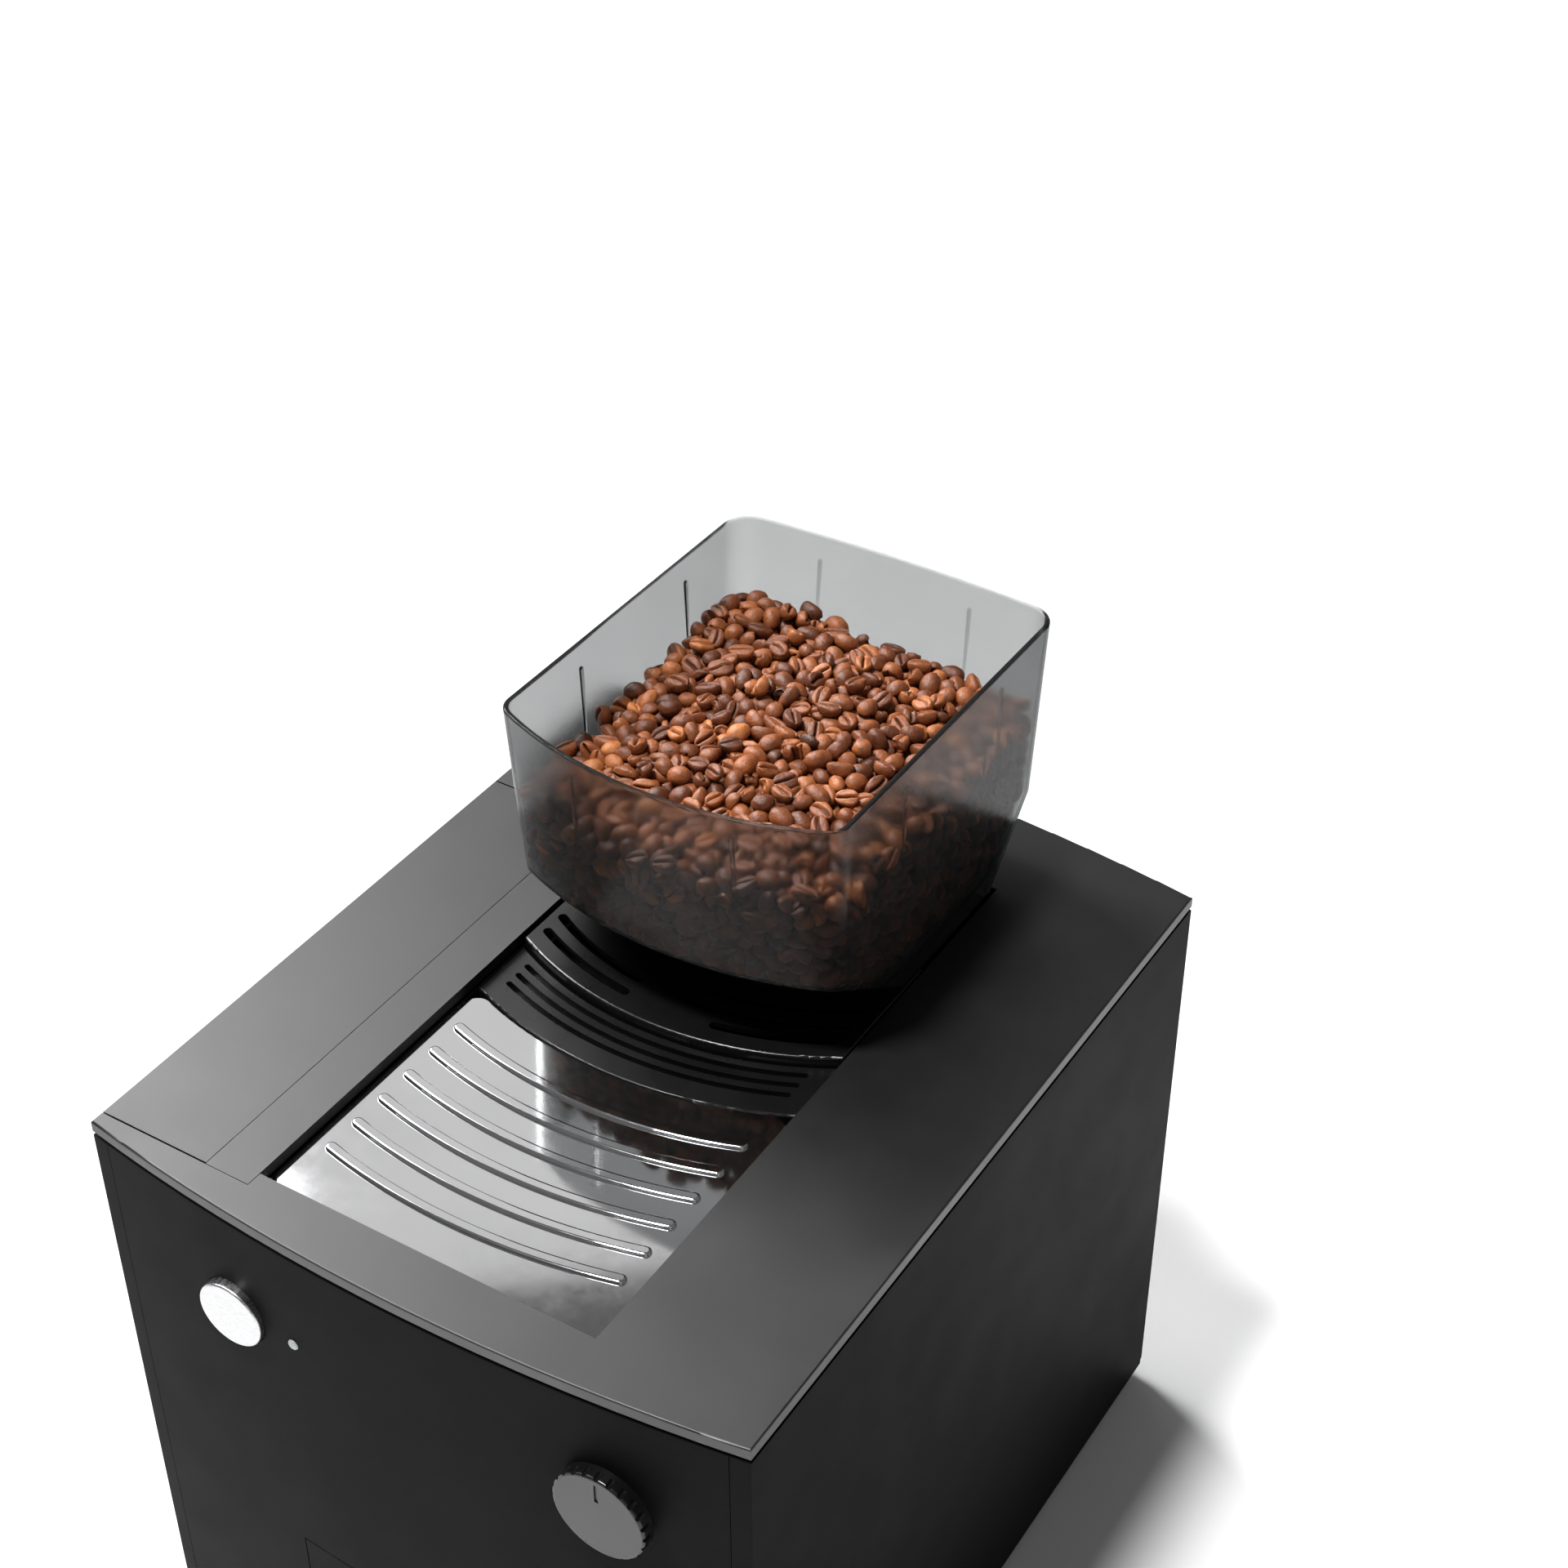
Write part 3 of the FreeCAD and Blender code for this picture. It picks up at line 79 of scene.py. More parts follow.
# Roasted beans: a bean's width and its two half thicknesses are shares of its length
BEAN_LENGTH = 10.2 * MM
BEAN_WIDTH = 0.74
BEAN_BACK = 0.40
BEAN_FLAT = 0.17
BEAN_VARIANTS = 9
TONE_SPREAD = 0.14

# How many beans are poured; the last ones go to the walls, the left side and its rear corner
BEAN_COUNT = 2990
EDGE_COUNT = 640
LEFT_COUNT = 60
CORNER_COUNT = 60

# Where beans start: shares of the bin's reach, and millimetres from the throat's axis
EDGE_SHARE = 0.70
UPRIGHT_SHARE = 0.80
LEFT_LIMIT = -36
LEFT_FRONT = -20
CORNER_PLACE = (-52, 66)
CORNER_RADIUS = 27

# Starting lattice, its jitter in millimetres, and the room it keeps to the core and to the wall, which
# is measured a little below each bean, where the bin is narrower
LATTICE = Vector((1.02, 0.92, 0.72)) * BEAN_LENGTH
JITTER = (0.6, 0.5)
WALL_ROOM = 6 * MM
WALL_BELOW = 2 * MM
CORE_ROOM = 5 * MM
CORE_COVER = 4 * MM

# Settled beans: which ones stay, and from where up they are seen from above and get the finer mesh
STRAY_BELOW_RIM = 12 * MM
STRAY_OFF_WALL = 2.5 * MM
FINE_ABOVE_CORE = 6 * MM

# Hidden core of the heap: shares of the bin's reach and of the heap's height, and its lift off the floor
CORE_FACTOR = 0.80
CORE_HEIGHT = 0.70
CORE_SHOWN = 0.02
CORE_LIFT = 3 * MM

# Measuring of the bin: rays from the throat's axis at steps above its lip, in millimetres; where a ray
# finds no wall, the throat's radius stands in
BIN_SIDES = 64
BIN_STEPS = (0.2, 1.5, 3, 4.5, 6, 8, 14, 22, 30, 34, 70)
BIN_RIM_ROOM = 5 * MM
BIN_EXTENSION = 200 * MM
THROAT_RADIUS = 20 * MM

# Settling, run at a larger scale because the solver dislikes small bodies
SIM_SCALE = 100.0
SIM_GRAVITY = -60.0
SIM_FRAMES = 60
SIM_MARGIN = 0.01

# Light: places are counted from the middle of the top cover; the sun stands high on the left front
SKY = 0.13
SUN = dict(strength=3.7, angle=9, direction=(-0.18, -0.30, 1.0))
SOFT_BOXES = {
    "left": dict(place=(-1.45, 0.30, 1.15), aim=(-0.12, -0.08, 0.0), size=(1.2, 1.1), power=6.9, beam=43),
    "left_back": dict(place=(-1.15, 1.20, 1.20), aim=(-0.05, -0.08, 0.0), size=(1.0, 1.0), power=1.8),
    "front_right": dict(place=(1.5, -1.6, 1.0), aim=(0.0, 0.0, 0.0), size=(1.2, 1.2), power=2.5),
}
FLOOR_REACH = 20.0
FLOOR_TONE = 0.85


# ---------------------------------------------------------------- node helpers


def grey(value):
    """Neutral colour of one brightness."""
    return (value, value, value)


def new_material(name):
    """Material with a plain Principled shader; returns material, tree and shader."""
    material = bpy.data.materials.new(name)
    material.use_nodes = True
    tree = material.node_tree
    return material, tree, tree.nodes["Principled BSDF"]


def add(tree, kind, **values):
    """Node with its properties and input sockets set by name."""
    node = tree.nodes.new(kind)
    for key, value in values.items():
        if key in node.inputs:
            node.inputs[key].default_value = value
        else:
            setattr(node, key, value)
    return node


def object_coords(tree):
    """The object's own coordinates, which are metres of the frame."""
    return add(tree, "ShaderNodeTexCoord").outputs["Object"]


def noise(tree, scale, detail=3.0, rough=0.5, coords=None):
    """Noise in object space; scale counts per metre."""
    node = add(tree, "ShaderNodeTexNoise", Scale=scale, Detail=detail, Roughness=rough)
    tree.links.new(coords or object_coords(tree), node.inputs["Vector"])
    return node.outputs["Fac"]


def ramp(tree, source, stops):
    """Colour ramp; stops are (position, colour)."""
    node = add(tree, "ShaderNodeValToRGB")
    elements = node.color_ramp.elements
    while len(elements) < len(stops):
        elements.new(0.5)
    for element, (position, colour) in zip(elements, stops):
        element.position = position
        element.color = (*colour, 1.0)
    tree.links.new(source, node.inputs["Fac"])
    return node.outputs["Color"]


def two_tone(tree, source, dark, light):
    """Colour from dark to light over the range where most of a noise lies."""
    return ramp(tree, source, [(NOISE_LOW, dark), (NOISE_HIGH, light)])


def spread(tree, source, low, high):
    """Maps the range where most of a noise lies to low..high."""
    limits = {"From Min": NOISE_LOW, "From Max": NOISE_HIGH, "To Min": low, "To Max": high}
    node = add(tree, "ShaderNodeMapRange", **limits)
    tree.links.new(source, node.inputs["Value"])
    return node.outputs["Result"]


def bump(tree, shader, height, strength, distance, normal=None):
    """Bump from a height source into the shader's normal."""
    node = add(tree, "ShaderNodeBump", Strength=strength, Distance=distance)
    tree.links.new(height, node.inputs["Height"])
    if normal:
        tree.links.new(normal, node.inputs["Normal"])
    if shader:
        tree.links.new(node.outputs["Normal"], shader.inputs["Normal"])
    return node.outputs["Normal"]


# ---------------------------------------------------------------- materials


def grained_plastic(name, dark, light, rough, grain, depth, specular=0.5):
    """Moulded plastic with a fine spark-eroded grain and faint cloudiness."""
    material, tree, shader = new_material(name)
    colour = two_tone(tree, noise(tree, 18.0, 4.0), dark, light)
    tree.links.new(colour, shader.inputs["Base Color"])
    finish = spread(tree, noise(tree, 35.0, 5.0), rough - 0.03, rough + 0.03)
    tree.links.new(finish, shader.inputs["Roughness"])
    bump(tree, shader, noise(tree, grain, 2.0, 0.6), 0.35, depth)
    shader.inputs["Specular IOR Level"].default_value = specular
    return material


def smoky_plastic(name):
    """See-through grey plastic with a slightly frosted face, darker where it is thicker."""
    material, tree, shader = new_material(name)
    colour = two_tone(tree, noise(tree, 25.0, 4.0), (0.840, 0.840, 0.846), (0.880, 0.880, 0.886))
    tree.links.new(colour, shader.inputs["Base Color"])
    shader.inputs["Transmission Weight"].default_value = 0.99
    shader.inputs["IOR"].default_value = 1.17
    tree.links.new(spread(tree, noise(tree, 60.0, 4.0), 0.175, 0.225), shader.inputs["Roughness"])
    absorb = add(tree, "ShaderNodeVolumeAbsorption", Density=300.0)
    absorb.inputs["Color"].default_value = (0.07, 0.09, 0.09, 1.0)
    tree.links.new(absorb.outputs["Volume"], tree.nodes["Material Output"].inputs["Volume"])
    return material


def roasted(name):
    """Roasted bean skin: a tone of its own for each bean, mottling, painted shade in the crease, wrinkles and
    satin sheen.
    """
    material, tree, shader = new_material(name)
    tone = add(tree, "ShaderNodeAttribute", attribute_name="tone").outputs["Fac"]
    mottle = spread(tree, noise(tree, 240.0, 5.0, 0.6), -0.14, 0.14)
    mixed = add(tree, "ShaderNodeMath", operation="ADD")
    tree.links.new(tone, mixed.inputs[0])
    tree.links.new(mottle, mixed.inputs[1])
    skin = ramp(
        tree,
        mixed.outputs["Value"],
        [
            (0.0, (0.038, 0.012, 0.005)),
            (0.35, (0.140, 0.039, 0.013)),
            (0.65, (0.310, 0.094, 0.028)),
            (1.0, (0.620, 0.225, 0.066)),
        ],
    )
    # Painted shade: the colour is darkened along the crease in each bean's flat side.
    crease = add(tree, "ShaderNodeAttribute", attribute_name="crease").outputs["Fac"]
    shade = ramp(tree, crease, [(0.25, (1.0, 1.0, 1.0)), (0.8, (0.22, 0.18, 0.15))])
    colour = add(tree, "ShaderNodeMix", data_type="RGBA", blend_type="MULTIPLY")
    colour.inputs["Factor"].default_value = 1.0
    tree.links.new(skin, colour.inputs["A"])
    tree.links.new(shade, colour.inputs["B"])
    tree.links.new(colour.outputs["Result"], shader.inputs["Base Color"])
    tree.links.new(spread(tree, noise(tree, 420.0, 3.0), 0.33, 0.50), shader.inputs["Roughness"])
    wrinkles = bump(tree, None, noise(tree, 700.0, 4.0, 0.65), 0.8, 0.0005)
    bump(tree, shader, noise(tree, 3400.0, 2.0), 0.5, 0.00010, wrinkles)
    return material


def polished_steel(name):
    """Polished stainless steel with faint long-wave unevenness and hairline wear."""
    material, tree, shader = new_material(name)
    shader.inputs["Metallic"].default_value = 1.0
    colour = two_tone(tree, noise(tree, 12.0, 3.0), (0.72, 0.72, 0.73), (0.80, 0.80, 0.81))
    tree.links.new(colour, shader.inputs["Base Color"])
    tree.links.new(spread(tree, noise(tree, 90.0, 6.0, 0.7), 0.05, 0.10), shader.inputs["Roughness"])
    bump(tree, shader, noise(tree, 14.0, 2.0), 0.10, 0.0006)
    return material


def machined_metal(name, dark, light, rough, scale):
    """Metal with a directional machined or cast texture."""
    material, tree, shader = new_material(name)
    shader.inputs["Metallic"].default_value = 1.0
    mapping = add(tree, "ShaderNodeMapping")
    mapping.inputs["Scale"].default_value = (1.0, 1.0, 8.0)
    tree.links.new(object_coords(tree), mapping.inputs["Vector"])
    grain = noise(tree, scale, 4.0, 0.6, mapping.outputs["Vector"])
    tree.links.new(two_tone(tree, grain, dark, light), shader.inputs["Base Color"])
    tree.links.new(spread(tree, grain, rough - 0.08, rough + 0.08), shader.inputs["Roughness"])
    bump(tree, shader, grain, 0.2, 0.0001)
    return material


def soft_rubber(name):
    """Matt black rubber with a dusty grain."""
    material, tree, shader = new_material(name)
    colour = two_tone(tree, noise(tree, 120.0), grey(0.012), grey(0.022))
    tree.links.new(colour, shader.inputs["Base Color"])
    shader.inputs["Roughness"].default_value = 0.8
    bump(tree, shader, noise(tree, 1500.0), 0.4, 0.0001)
    return material


def moulded_plastic(name, dark, light, rough=0.45):
    """Plain engineering plastic with flow marks."""
    return grained_plastic(name, dark, light, rough, 700.0, 0.00006)


def lens_plastic(name):
    """Milky white lens."""
    material, tree, shader = new_material(name)
    colour = two_tone(tree, noise(tree, 300.0), (0.75, 0.80, 0.80), (0.85, 0.90, 0.90))
    tree.links.new(colour, shader.inputs["Base Color"])
    shader.inputs["Transmission Weight"].default_value = 0.6
    shader.inputs["Roughness"].default_value = 0.15
    return material


# Each material slot of the record: what makes its material, and from which values. The rocker is gloss
# black; only the name of its slot says red.
MATERIALS = {
    "case_black": (grained_plastic, grey(0.006), grey(0.008), 0.50, 2600.0, 0.00010, 0.02),
    "cover_black": (grained_plastic, grey(0.0010), grey(0.0018), 0.44, 2600.0, 0.00010, 0.8),
    "vent_black": (grained_plastic, grey(0.003), grey(0.006), 0.28, 1800.0, 0.00004),
    "smoky_plastic": (smoky_plastic,),
    "roasted_beans": (roasted,),
    "polished_steel": (polished_steel,),
    "plain_steel": (machined_metal, (0.50, 0.50, 0.51), (0.62, 0.62, 0.63), 0.30, 300.0),
    "burr_steel": (machined_metal, (0.30, 0.30, 0.31), (0.42, 0.42, 0.43), 0.32, 400.0),
    "cast_alloy": (machined_metal, (0.48, 0.48, 0.49), (0.60, 0.60, 0.61), 0.50, 500.0),
    "zinc_steel": (machined_metal, (0.55, 0.55, 0.52), (0.68, 0.67, 0.63), 0.38, 250.0),
    "soft_rubber": (soft_rubber,),
    "white_nylon": (moulded_plastic, (0.70, 0.68, 0.61), (0.80, 0.78, 0.71)),
    "grey_plastic": (moulded_plastic, (0.045, 0.045, 0.048), (0.06, 0.06, 0.064)),
    "brass": (machined_metal, (0.52, 0.38, 0.16), (0.68, 0.52, 0.25), 0.35, 300.0),
    "copper_winding": (machined_metal, (0.38, 0.16, 0.07), (0.60, 0.30, 0.15), 0.35, 900.0),
    "board_green": (moulded_plastic, (0.01, 0.09, 0.04), (0.02, 0.14, 0.06), 0.35),
    "lens_white": (lens_plastic,),
    "switch_red": (moulded_plastic, grey(0.010), grey(0.016), 0.25),
}


def dress_cad_nodes(made):
    """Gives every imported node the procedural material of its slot."""
    for part in frame["record"]["subparts"]:
        node = nodes[part["node"]]
        material = made[part["material_slot"]]
        for slot in node.material_slots:
            slot.material = material
        if not node.material_slots:
            node.data.materials.append(material)


# ---------------------------------------------------------------- beans


def bean_angles(back_points, flat_points):
    """Angles round a bean's section, closer together at the crease in its flat side."""
    back = [math.pi * i / back_points for i in range(back_points)]
    flat = []
    for i in range(flat_points):
        across = -1.0 + 2.0 * i / flat_points
        flat.append(1.5 * math.pi + math.copysign(abs(across) ** 1.6, across) * math.pi / 2)
    return np.array(back + flat)


def bean_faces(rings, count):
    """Quads between a bean's rings, and fans that close its tips, whose two points come last."""
    here = np.arange(count)
    after = (here + 1) % count
    quads = []
    for row in range(rings - 2):
        low, high = row * count, (row + 1) * count
        quads.append(np.stack([low + here, high + here, high + after, low + after], axis=1))
    tail = (rings - 2) * count
    first, last = tail + count, tail + count + 1
    fans = [
        np.stack([np.full(count, first), here, after], axis=1),
        np.stack([np.full(count, last), tail + after, tail + here], axis=1),
    ]
    return np.concatenate(quads), np.concatenate(fans)


def bean_template(rings, back_points, flat_points, rng):
    """One bean of unit length along x, flat side down: points, crease depths, quads and end fans."""
    around = bean_angles(back_points, flat_points)
    up = np.sin(around)
    width = BEAN_WIDTH * rng.uniform(0.92, 1.08)
    height = rng.uniform(0.88, 1.10)
    taper = rng.uniform(-0.14, 0.14)
    bend = rng.uniform(-0.07, 0.02)
    sway = rng.uniform(0.02, 0.06)
    depth = rng.uniform(0.16, 0.26)
    gape = rng.uniform(0.032, 0.055)
    phase = [rng.uniform(0, math.tau) for _ in range(5)]
    rows, creases = [], []
    for i in range(1, rings):
        x = -0.5 * math.cos(math.pi * i / rings)
        girth = math.sin(math.pi * i / rings) ** 0.86 * (1.0 + 2 * taper * x)
        y = 0.5 * width * girth * np.cos(around)
        z = np.where(up > 0, BEAN_BACK * height * up, BEAN_FLAT * np.tanh(2.6 * up)) * girth
        middle = sway * math.sin(math.tau * 0.8 * x + phase[0])
        under = (up < 0) * max(0.0, 1.0 - (abs(x) / 0.48) ** 6)
        crease = under * np.exp(-(((y - middle) / gape) ** 2))
        lips = under * np.exp(-(((np.abs(y - middle) - 2.6 * gape) / 0.05) ** 2))
        z = z + depth * crease - 0.03 * lips + bend * (2 * x) ** 2
        swell = 1.0 + 0.035 * np.sin(3 * around + phase[1] + 6 * x)
        swell = swell + 0.02 * np.sin(5 * around + phase[2] - 11 * x)
        rows.append(np.stack([np.full_like(y, x), y * swell, z * swell], axis=1))
        creases.append(crease)
    tips = [[-0.5, 0.0, 0.03 + bend], [0.5, 0.0, 0.03 + bend]]
    quads, fans = bean_faces(rings, len(around))
    return np.concatenate(rows + [tips]), np.concatenate(creases + [[0.0, 0.0]]), quads, fans


def broken_template(template, rng):
    """The same bean snapped across, with a ragged end."""
    points, creases, quads, fans = template
    points = points.copy()
    limit = rng.uniform(0.02, 0.22)
    ragged = limit + 0.05 * np.sin(9 * points[:, 1] / BEAN_WIDTH + 6) + 0.04 * np.sin(17 * points[:, 2])
    beyond = points[:, 0] > ragged
    points[beyond, 1:] *= 0.93
    points[:, 0] = np.minimum(points[:, 0], ragged)
    return points, creases, quads, fans


def hull_mesh():
    """Small convex bean for the settling, in simulation units."""
    unit = BEAN_LENGTH * SIM_SCALE
    work = bmesh.new()
    bmesh.ops.create_uvsphere(work, u_segments=8, v_segments=6, radius=0.5)
    for vertex in work.verts:
        x, y, z = vertex.co
        thickness = 2 * (BEAN_BACK if z > 0 else BEAN_FLAT)
        vertex.co = Vector((x, y * BEAN_WIDTH, z * thickness)) * unit
    mesh = bpy.data.meshes.new("bean_hull")
    work.to_mesh(mesh)
    work.free()
    return mesh


class Bin:
    """Inside of the hopper, measured by rays from the throat's axis."""

    def __init__(self):
        """Casts the rays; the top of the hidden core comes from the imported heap."""
        low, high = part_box("feed_funnel")
        self.middle = Vector(((low.x + high.x) / 2, (low.y + high.y) / 2, 0.0))
        self.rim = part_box("hopper")[1].z
        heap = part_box("bean_fill")
        self.core_z = heap[0].z + CORE_HEIGHT * (heap[1].z - heap[0].z)
        tree = BVHTree.FromObject(nodes["hopper"], bpy.context.evaluated_depsgraph_get())
        lip = heap[0].z
        self.heights = [lip + step * MM for step in BIN_STEPS]
        self.heights.append(self.rim - BIN_RIM_ROOM)
        self.radii = []
        for z in self.heights:
            start = Vector((self.middle.x, self.middle.y, z))
            row = []
            for i in range(BIN_SIDES):
                turn = math.tau * i / BIN_SIDES
                hit = tree.ray_cast(start, Vector((math.cos(turn), math.sin(turn), 0.0)))
                row.append(hit[3] if hit[3] else THROAT_RADIUS)
            self.radii.append(row)

    def reach(self, x, y, z):
        """Distance from the axis to the wall through a point, and the point's own distance."""
        dx, dy = x - self.middle.x, y - self.middle.y
        share = (math.atan2(dy, dx) / math.tau % 1.0) * BIN_SIDES
        side = int(share)
        blend = share - side
        level = max(0, min(len(self.heights) - 2, sum(h <= z for h in self.heights) - 1))
        up = (z - self.heights[level]) / (self.heights[level + 1] - self.heights[level])
        up = max(0.0, min(1.0, up))
        first, second = side % BIN_SIDES, (side + 1) % BIN_SIDES
        near = [row[first] * (1 - blend) + row[second] * blend for row in self.radii]
        return near[level] * (1 - up) + near[level + 1] * up, math.hypot(dx, dy)

    def rings(self, factor, levels):
        """Rings of points at chosen levels, each level a (height, radii) pair."""
        result = []
        for z, row in levels:
            ring = []
            for i, radius in enumerate(row):
                turn = math.tau * i / BIN_SIDES
                x = self.middle.x + factor * radius * math.cos(turn)
                y = self.middle.y + factor * radius * math.sin(turn)
                ring.append((x, y, z))
            result.append(ring)
        return result

    def mesh(self, name, rings, capped, scale):
        """Closed-bottom mesh through rings, with a lid when capped."""
        points = [Vector(point) * scale for ring in rings for point in ring]
        faces = []
        for level in range(len(rings) - 1):
            for i in range(BIN_SIDES):
                j = (i + 1) % BIN_SIDES
                low, high = level * BIN_SIDES, (level + 1) * BIN_SIDES
                faces.append((low + i, low + j, high + j, high + i))
        faces.append(tuple(range(BIN_SIDES))[::-1])
        if capped:
            top = (len(rings) - 1) * BIN_SIDES
            faces.append(tuple(range(top, top + BIN_SIDES)))
        mesh = bpy.data.meshes.new(name)
        mesh.from_pydata(points, [], faces)
        piece = bpy.data.objects.new(name, mesh)
        bpy.context.scene.collection.objects.link(piece)
        return piece

    def wall(self, scale):
        """The inside surface, drawn on upward to hold beans that are still falling."""
        levels = list(zip(self.heights, self.radii))
        levels.append((self.rim + BIN_EXTENSION, self.radii[-1]))
        return self.mesh("bin_wall", self.rings(1.0, levels), False, scale)

    def core(self, factor, scale):
        """Inner block that the visible beans lie round."""
        raised = [(z + CORE_LIFT, row) for z, row in zip(self.heights, self.radii)]
        levels = [(z, row) for z, row in raised if z < self.core_z]
        levels.append((self.core_z, levels[-1][1]))
        return self.mesh("bean_core", self.rings(factor, levels), True, scale)


def wanted(bin_, point, share, missing):
    """Whether a bean starts here, given its share of the reach and how many beans are still missing."""
    across = (point.x - bin_.middle.x) / MM
    back = (point.y - bin_.middle.y) / MM
    if missing <= CORNER_COUNT:
        return math.hypot(across - CORNER_PLACE[0], back - CORNER_PLACE[1]) < CORNER_RADIUS
    if missing <= CORNER_COUNT + LEFT_COUNT:
        return across < LEFT_LIMIT and back > LEFT_FRONT
    if missing <= CORNER_COUNT + LEFT_COUNT + EDGE_COUNT:
        return share > EDGE_SHARE
    return True


def start_turn(bin_, point, share, rng):
    """Rotation a bean starts with: flat against the wall when near it, lying down elsewhere."""
    lying = Matrix.Rotation(rng.uniform(-0.5, 0.5) + math.pi * rng.randint(0, 1), 3, "X")
    spun = Matrix.Rotation(rng.uniform(0, math.tau), 3, "Z")
    if share < UPRIGHT_SHARE:
        return spun @ lying
    outward = math.atan2(point.y - bin_.middle.y, point.x - bin_.middle.x)
    upright = Matrix.Rotation(math.pi / 2 + rng.uniform(-0.3, 0.3), 3, "Y")
    return Matrix.Rotation(outward, 3, "Z") @ upright @ spun


def start_places(bin_, rng):
    """Loose lattice of bean centres round and above the core, and each one's rotation."""
    places, turns = [], []
    low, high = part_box("hopper")
    level = 0
    while len(places) < BEAN_COUNT:
        z = bin_.heights[0] + WALL_ROOM + level * LATTICE.z
        y = low.y + (level % 2) * LATTICE.y / 2
        while y < high.y:
            x = low.x + (level % 2) * LATTICE.x / 2
            while x < high.x:
                across = x + rng.uniform(-JITTER[0], JITTER[0]) * MM
                along = y + rng.uniform(-JITTER[1], JITTER[1]) * MM
                point = Vector((across, along, z))
                x += LATTICE.x
                reach, own = bin_.reach(point.x, point.y, z - WALL_BELOW)
                clear_of_core = own > CORE_FACTOR * reach + CORE_ROOM or z > bin_.core_z + CORE_COVER
                inside = own < reach - WALL_ROOM and clear_of_core
                if inside and wanted(bin_, point, own / reach, BEAN_COUNT - len(places)):
                    places.append(point)
                    turns.append(start_turn(bin_, point, own / reach, rng))
            y += LATTICE.y
        level += 1
    return places[:BEAN_COUNT], turns[:BEAN_COUNT]


def make_rigid(objects, kind):
    """Adds rigid bodies of one kind."""
    bpy.ops.object.select_all(action="DESELECT")
    for piece in objects:
        piece.select_set(True)
    bpy.context.view_layer.objects.active = objects[0]
    bpy.ops.rigidbody.objects_add(type=kind)
    for piece in objects:
        body = piece.rigid_body
        body.collision_shape = "MESH" if kind == "PASSIVE" else "CONVEX_HULL"
        body.use_margin = True
        body.collision_margin = SIM_MARGIN
        body.friction = 0.4
        body.restitution = 0.05
        body.linear_damping = 0.1
        body.angular_damping = 0.3


def resting_matrices(beans):
    """Each bean's matrix as it lies now, brought back to metres."""
    graph = bpy.context.evaluated_depsgraph_get()
    to_metres = Matrix.Scale(1 / SIM_SCALE, 4)
    return [to_metres @ bean.evaluated_get(graph).matrix_world for bean in beans]


def fall(bin_, beans):
    """Lets the beans fall between the bin's wall and the core, and clears the simulation away."""
    scene = bpy.context.scene
    bpy.ops.rigidbody.world_add()
    world = scene.rigidbody_world
    world.substeps_per_frame = 4
    world.solver_iterations = 10
    world.point_cache.frame_start = 1
    world.point_cache.frame_end = SIM_FRAMES
    scene.gravity = (0.0, 0.0, SIM_GRAVITY)
    wall = bin_.wall(SIM_SCALE)
    core = bin_.core(CORE_FACTOR, SIM_SCALE)
    make_rigid([wall, core], "PASSIVE")
    make_rigid(beans, "ACTIVE")
    for number in range(1, SIM_FRAMES + 1):
        scene.frame_set(number)
    matrices = resting_matrices(beans)
    bpy.ops.rigidbody.world_remove()
    bpy.data.objects.remove(wall)
    bpy.data.objects.remove(core)
    scene.frame_set(1)
    scene.gravity = (0.0, 0.0, -9.81)
    return matrices


def settle_beans(bin_, rng):
    """Drops the beans into the hopper and returns each one's resting matrix in metres."""
    hull = hull_mesh()
    beans = []
    for place, turn in zip(*start_places(bin_, rng)):
        bean = bpy.data.objects.new("sim_bean", hull)
        bpy.context.scene.collection.objects.link(bean)
        bean.location = place * SIM_SCALE
        bean.rotation_euler = turn.to_euler()
        size = rng.uniform(0.86, 1.10)
        bean.scale = (size * rng.uniform(0.94, 1.06), size, size)
        beans.append(bean)
    matrices = fall(bin_, beans)
    for bean in beans:
        bpy.data.objects.remove(bean)
    return matrices


def stand_for_beans(piece):
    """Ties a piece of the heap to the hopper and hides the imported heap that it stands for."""
    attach(piece, "hopper")
    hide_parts("bean_fill")


def bean_mesh(name, rows):
    """Smooth mesh from stacked points, quads and fans, with the tone and crease of each point."""
    sizes = np.concatenate([np.full(len(rows["quads"]), 4), np.full(len(rows["fans"]), 3)])
    starts = np.concatenate([[0], np.cumsum(sizes)[:-1]])
    loops = np.concatenate([rows["quads"].ravel(), rows["fans"].ravel()])
    mesh = bpy.data.meshes.new(name)
    mesh.vertices.add(len(rows["points"]))
    mesh.vertices.foreach_set("co", rows["points"].astype(np.float32).ravel())
    mesh.loops.add(len(loops))
    mesh.loops.foreach_set("vertex_index", loops.astype(np.int32))
    mesh.polygons.add(len(sizes))
    mesh.polygons.foreach_set("loop_start", starts.astype(np.int32))
    mesh.polygons.foreach_set("use_smooth", np.ones(len(sizes), bool))
    mesh.update(calc_edges=True)
    for key in ("tone", "crease"):
        attribute = mesh.attributes.new(key, "FLOAT", "POINT")
        attribute.data.foreach_set("value", rows[key].astype(np.float32))
    return mesh


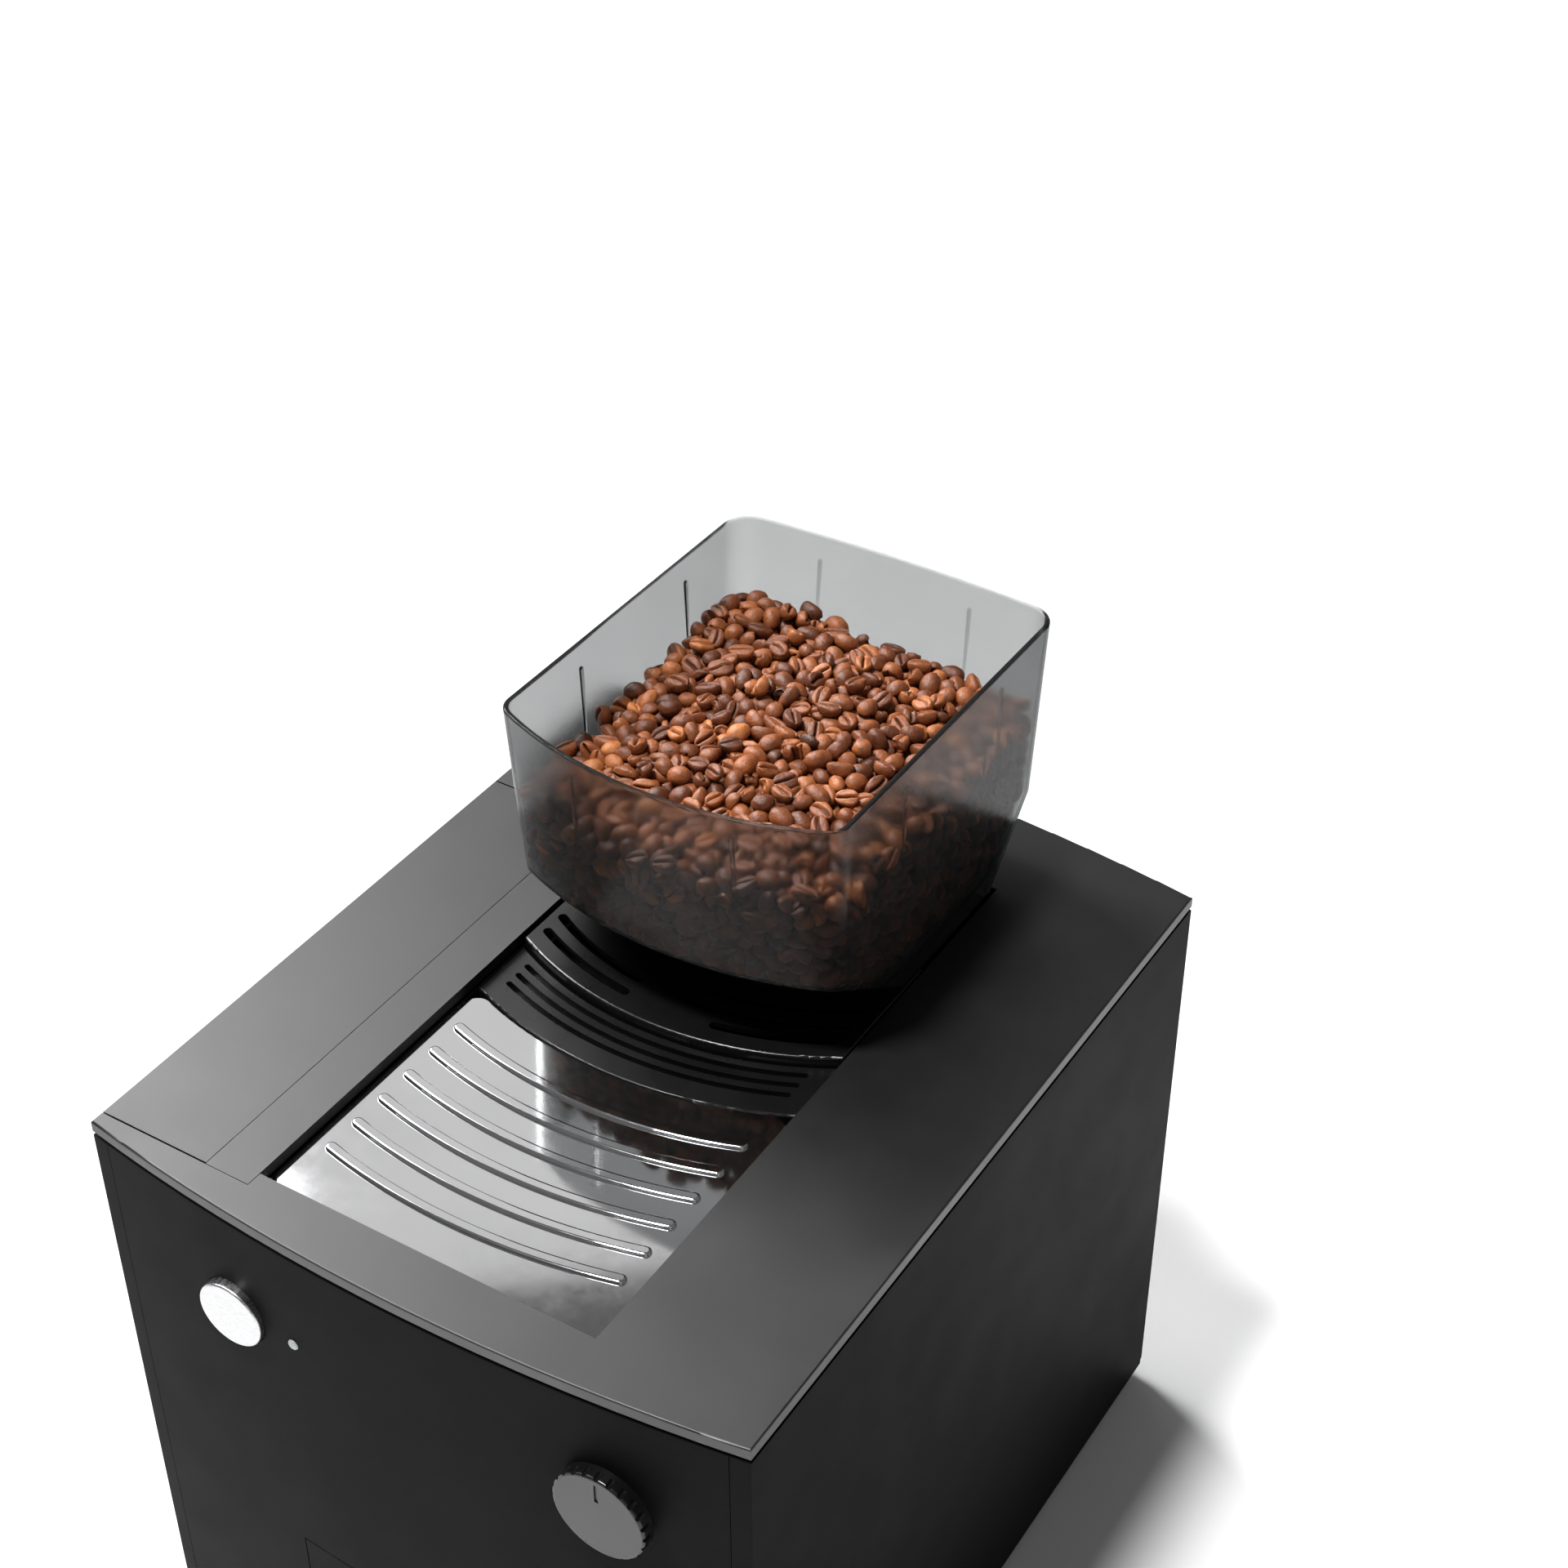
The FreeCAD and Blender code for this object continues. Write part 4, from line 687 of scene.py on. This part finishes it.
def joined_beans(name, matrices, templates, rng, material, turned, tone_middle):
    """One mesh of many beans, each with its own tone; turned is the share with the flat side outward."""
    rows = {"points": [], "crease": [], "tone": [], "quads": [], "fans": []}
    start = 0
    for i, matrix in enumerate(matrices):
        points, crease, quads, fans = templates[i % len(templates)]
        placed = np.array(matrix, float)
        tone = min(1.0, max(0.0, rng.gauss(tone_middle, TONE_SPREAD)))
        if rng.random() < turned:
            points = points * (1, -1, -1) + (0, 0, BEAN_BACK - BEAN_FLAT)
        rows["points"].append((points * BEAN_LENGTH * SIM_SCALE) @ placed[:3, :3].T + placed[:3, 3])
        rows["crease"].append(crease)
        rows["tone"].append(np.full(len(points), tone))
        rows["quads"].append(quads + start)
        rows["fans"].append(fans + start)
        start += len(points)
    mesh = bean_mesh(name, {key: np.concatenate(value) for key, value in rows.items()})
    mesh.materials.append(material)
    piece = bpy.data.objects.new(name, mesh)
    bpy.context.scene.collection.objects.link(piece)
    stand_for_beans(piece)


def bean_pieces(label, count, matrices, templates, rng, material, turned, tone_middle):
    """Shares the beans out over a few numbered pieces."""
    rng.shuffle(matrices)
    for part in range(count):
        name = f"{label}_{part + 1}"
        joined_beans(name, matrices[part::count], templates, rng, material, turned, tone_middle)


def pour_beans(material):
    """Settles the beans, leaves out the stray ones and joins the rest into a few meshes."""
    rng = random.Random(SEED)
    bin_ = Bin()
    matrices = settle_beans(bin_, rng)
    kept = []
    for matrix in matrices:
        place = matrix.translation
        reach, own = bin_.reach(place.x, place.y, place.z)
        inside = own < reach - STRAY_OFF_WALL
        if inside and bin_.heights[0] < place.z < bin_.rim - STRAY_BELOW_RIM:
            kept.append(matrix)
    fine = [bean_template(18, 9, 15, rng) for _ in range(BEAN_VARIANTS)]
    fine += [broken_template(fine[0], rng)]
    plain = [bean_template(10, 5, 9, rng) for _ in range(BEAN_VARIANTS)]
    limit = bin_.core_z + FINE_ABOVE_CORE
    above = [matrix for matrix in kept if matrix.translation.z > limit]
    below = [matrix for matrix in kept if matrix.translation.z <= limit]
    bean_pieces("beans_top", 6, above, fine, rng, material, turned=0.45, tone_middle=0.47)
    # Painted shade: the beans lower in the heap and along the walls get a darker middle tone, where less
    # light reaches them.
    bean_pieces("beans_side", 4, below, plain, rng, material, turned=0.12, tone_middle=0.33)
    # The core stands in for the beans under the top ones. It has no tone or crease attribute, so it takes the
    # darkest bean colour: painted shade in the gaps between the beans.
    core = bin_.core(CORE_FACTOR + CORE_SHOWN, 1.0)
    core.data.materials.append(material)
    stand_for_beans(core)


# ---------------------------------------------------------------- soft part


def button_bellows(material):
    """The rubber bellows behind the start button: a copy of the spring's mesh in rubber, tied to the housing.
    """
    node = nodes["button_spring"]
    piece = bpy.data.objects.new("button_bellows", node.data.copy())
    piece.matrix_world = node.matrix_world
    piece.data.materials.clear()
    piece.data.materials.append(material)
    bpy.context.scene.collection.objects.link(piece)
    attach(piece, "housing")
    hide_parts("button_spring")
    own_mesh(piece)


# ---------------------------------------------------------------- stage


def camera():
    """Camera at the picture's place, angle and lens."""
    data = bpy.data.cameras.new("camera")
    data.lens = LENS
    data.sensor_width = SENSOR
    data.clip_end = 20.0
    piece = bpy.data.objects.new("camera", data)
    bpy.context.scene.collection.objects.link(piece)
    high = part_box("top_cover")[1]
    rear_top = Vector((0.0, high.y, high.z))
    piece.location = rear_top + CAMERA_FROM_REAR_TOP
    level = math.cos(CAMERA_ELEVATION)
    back = Vector(
        (math.sin(CAMERA_AZIMUTH) * level, -math.cos(CAMERA_AZIMUTH) * level, math.sin(CAMERA_ELEVATION))
    )
    right = Vector((math.cos(CAMERA_AZIMUTH), math.sin(CAMERA_AZIMUTH), 0.0))
    up = back.cross(right)
    turn = Matrix((right, up, back)).transposed()
    piece.rotation_euler = (turn @ Matrix.Rotation(CAMERA_ROLL, 3, "Z")).to_euler()
    bpy.context.scene.camera = piece


def soft_box(name, top, place, aim, size, power, beam=180):
    """Rectangular soft light; beam is the angle it shines into, in degrees."""
    data = bpy.data.lights.new(name, "AREA")
    data.shape = "RECTANGLE"
    data.size, data.size_y = size
    data.energy = power
    data.spread = math.radians(beam)
    piece = bpy.data.objects.new(name, data)
    piece.location = top + Vector(place)
    piece.rotation_euler = (Vector(place) - Vector(aim)).to_track_quat("Z", "Y").to_euler()
    bpy.context.scene.collection.objects.link(piece)


def sun(strength, angle, direction):
    """Broad light that reaches all of the floor evenly; direction points at it."""
    data = bpy.data.lights.new("high", "SUN")
    data.energy = strength
    data.angle = math.radians(angle)
    piece = bpy.data.objects.new("high", data)
    piece.rotation_euler = Vector(direction).to_track_quat("Z", "Y").to_euler()
    bpy.context.scene.collection.objects.link(piece)


def floor():
    """Plain pale floor."""
    mesh = bpy.data.meshes.new("floor")
    corners = [(-1, -1), (1, -1), (1, 1), (-1, 1)]
    mesh.from_pydata([(x * FLOOR_REACH, y * FLOOR_REACH, 0) for x, y in corners], [], [(0, 1, 2, 3)])
    material, _, shader = new_material("floor")
    shader.inputs["Base Color"].default_value = (*grey(FLOOR_TONE), 1.0)
    shader.inputs["Roughness"].default_value = 0.9
    mesh.materials.append(material)
    piece = bpy.data.objects.new("floor", mesh)
    bpy.context.scene.collection.objects.link(piece)


def surround():
    """Even, dim sky, so that the dark panels stay dark."""
    world = bpy.data.worlds.new("studio")
    bpy.context.scene.world = world
    world.use_nodes = True
    background = world.node_tree.nodes["Background"]
    background.inputs["Color"].default_value = (*grey(1.0), 1.0)
    background.inputs["Strength"].default_value = SKY


def studio():
    """Pale floor, dim surround and soft lights from the left, above and in front."""
    surround()
    top = Vector((0.0, 0.0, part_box("top_cover")[1].z))
    for name, values in SOFT_BOXES.items():
        soft_box(name, top, **values)
    sun(**SUN)
    floor()
    bpy.context.scene.view_settings.view_transform = "Standard"


def main():
    """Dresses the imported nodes, adds the beans and the bellows, and sets the stage."""
    made = {slot: make(slot, *values) for slot, (make, *values) in MATERIALS.items()}
    dress_cad_nodes(made)
    pour_beans(made["roasted_beans"])
    button_bellows(made["soft_rubber"])
    camera()
    studio()


main()
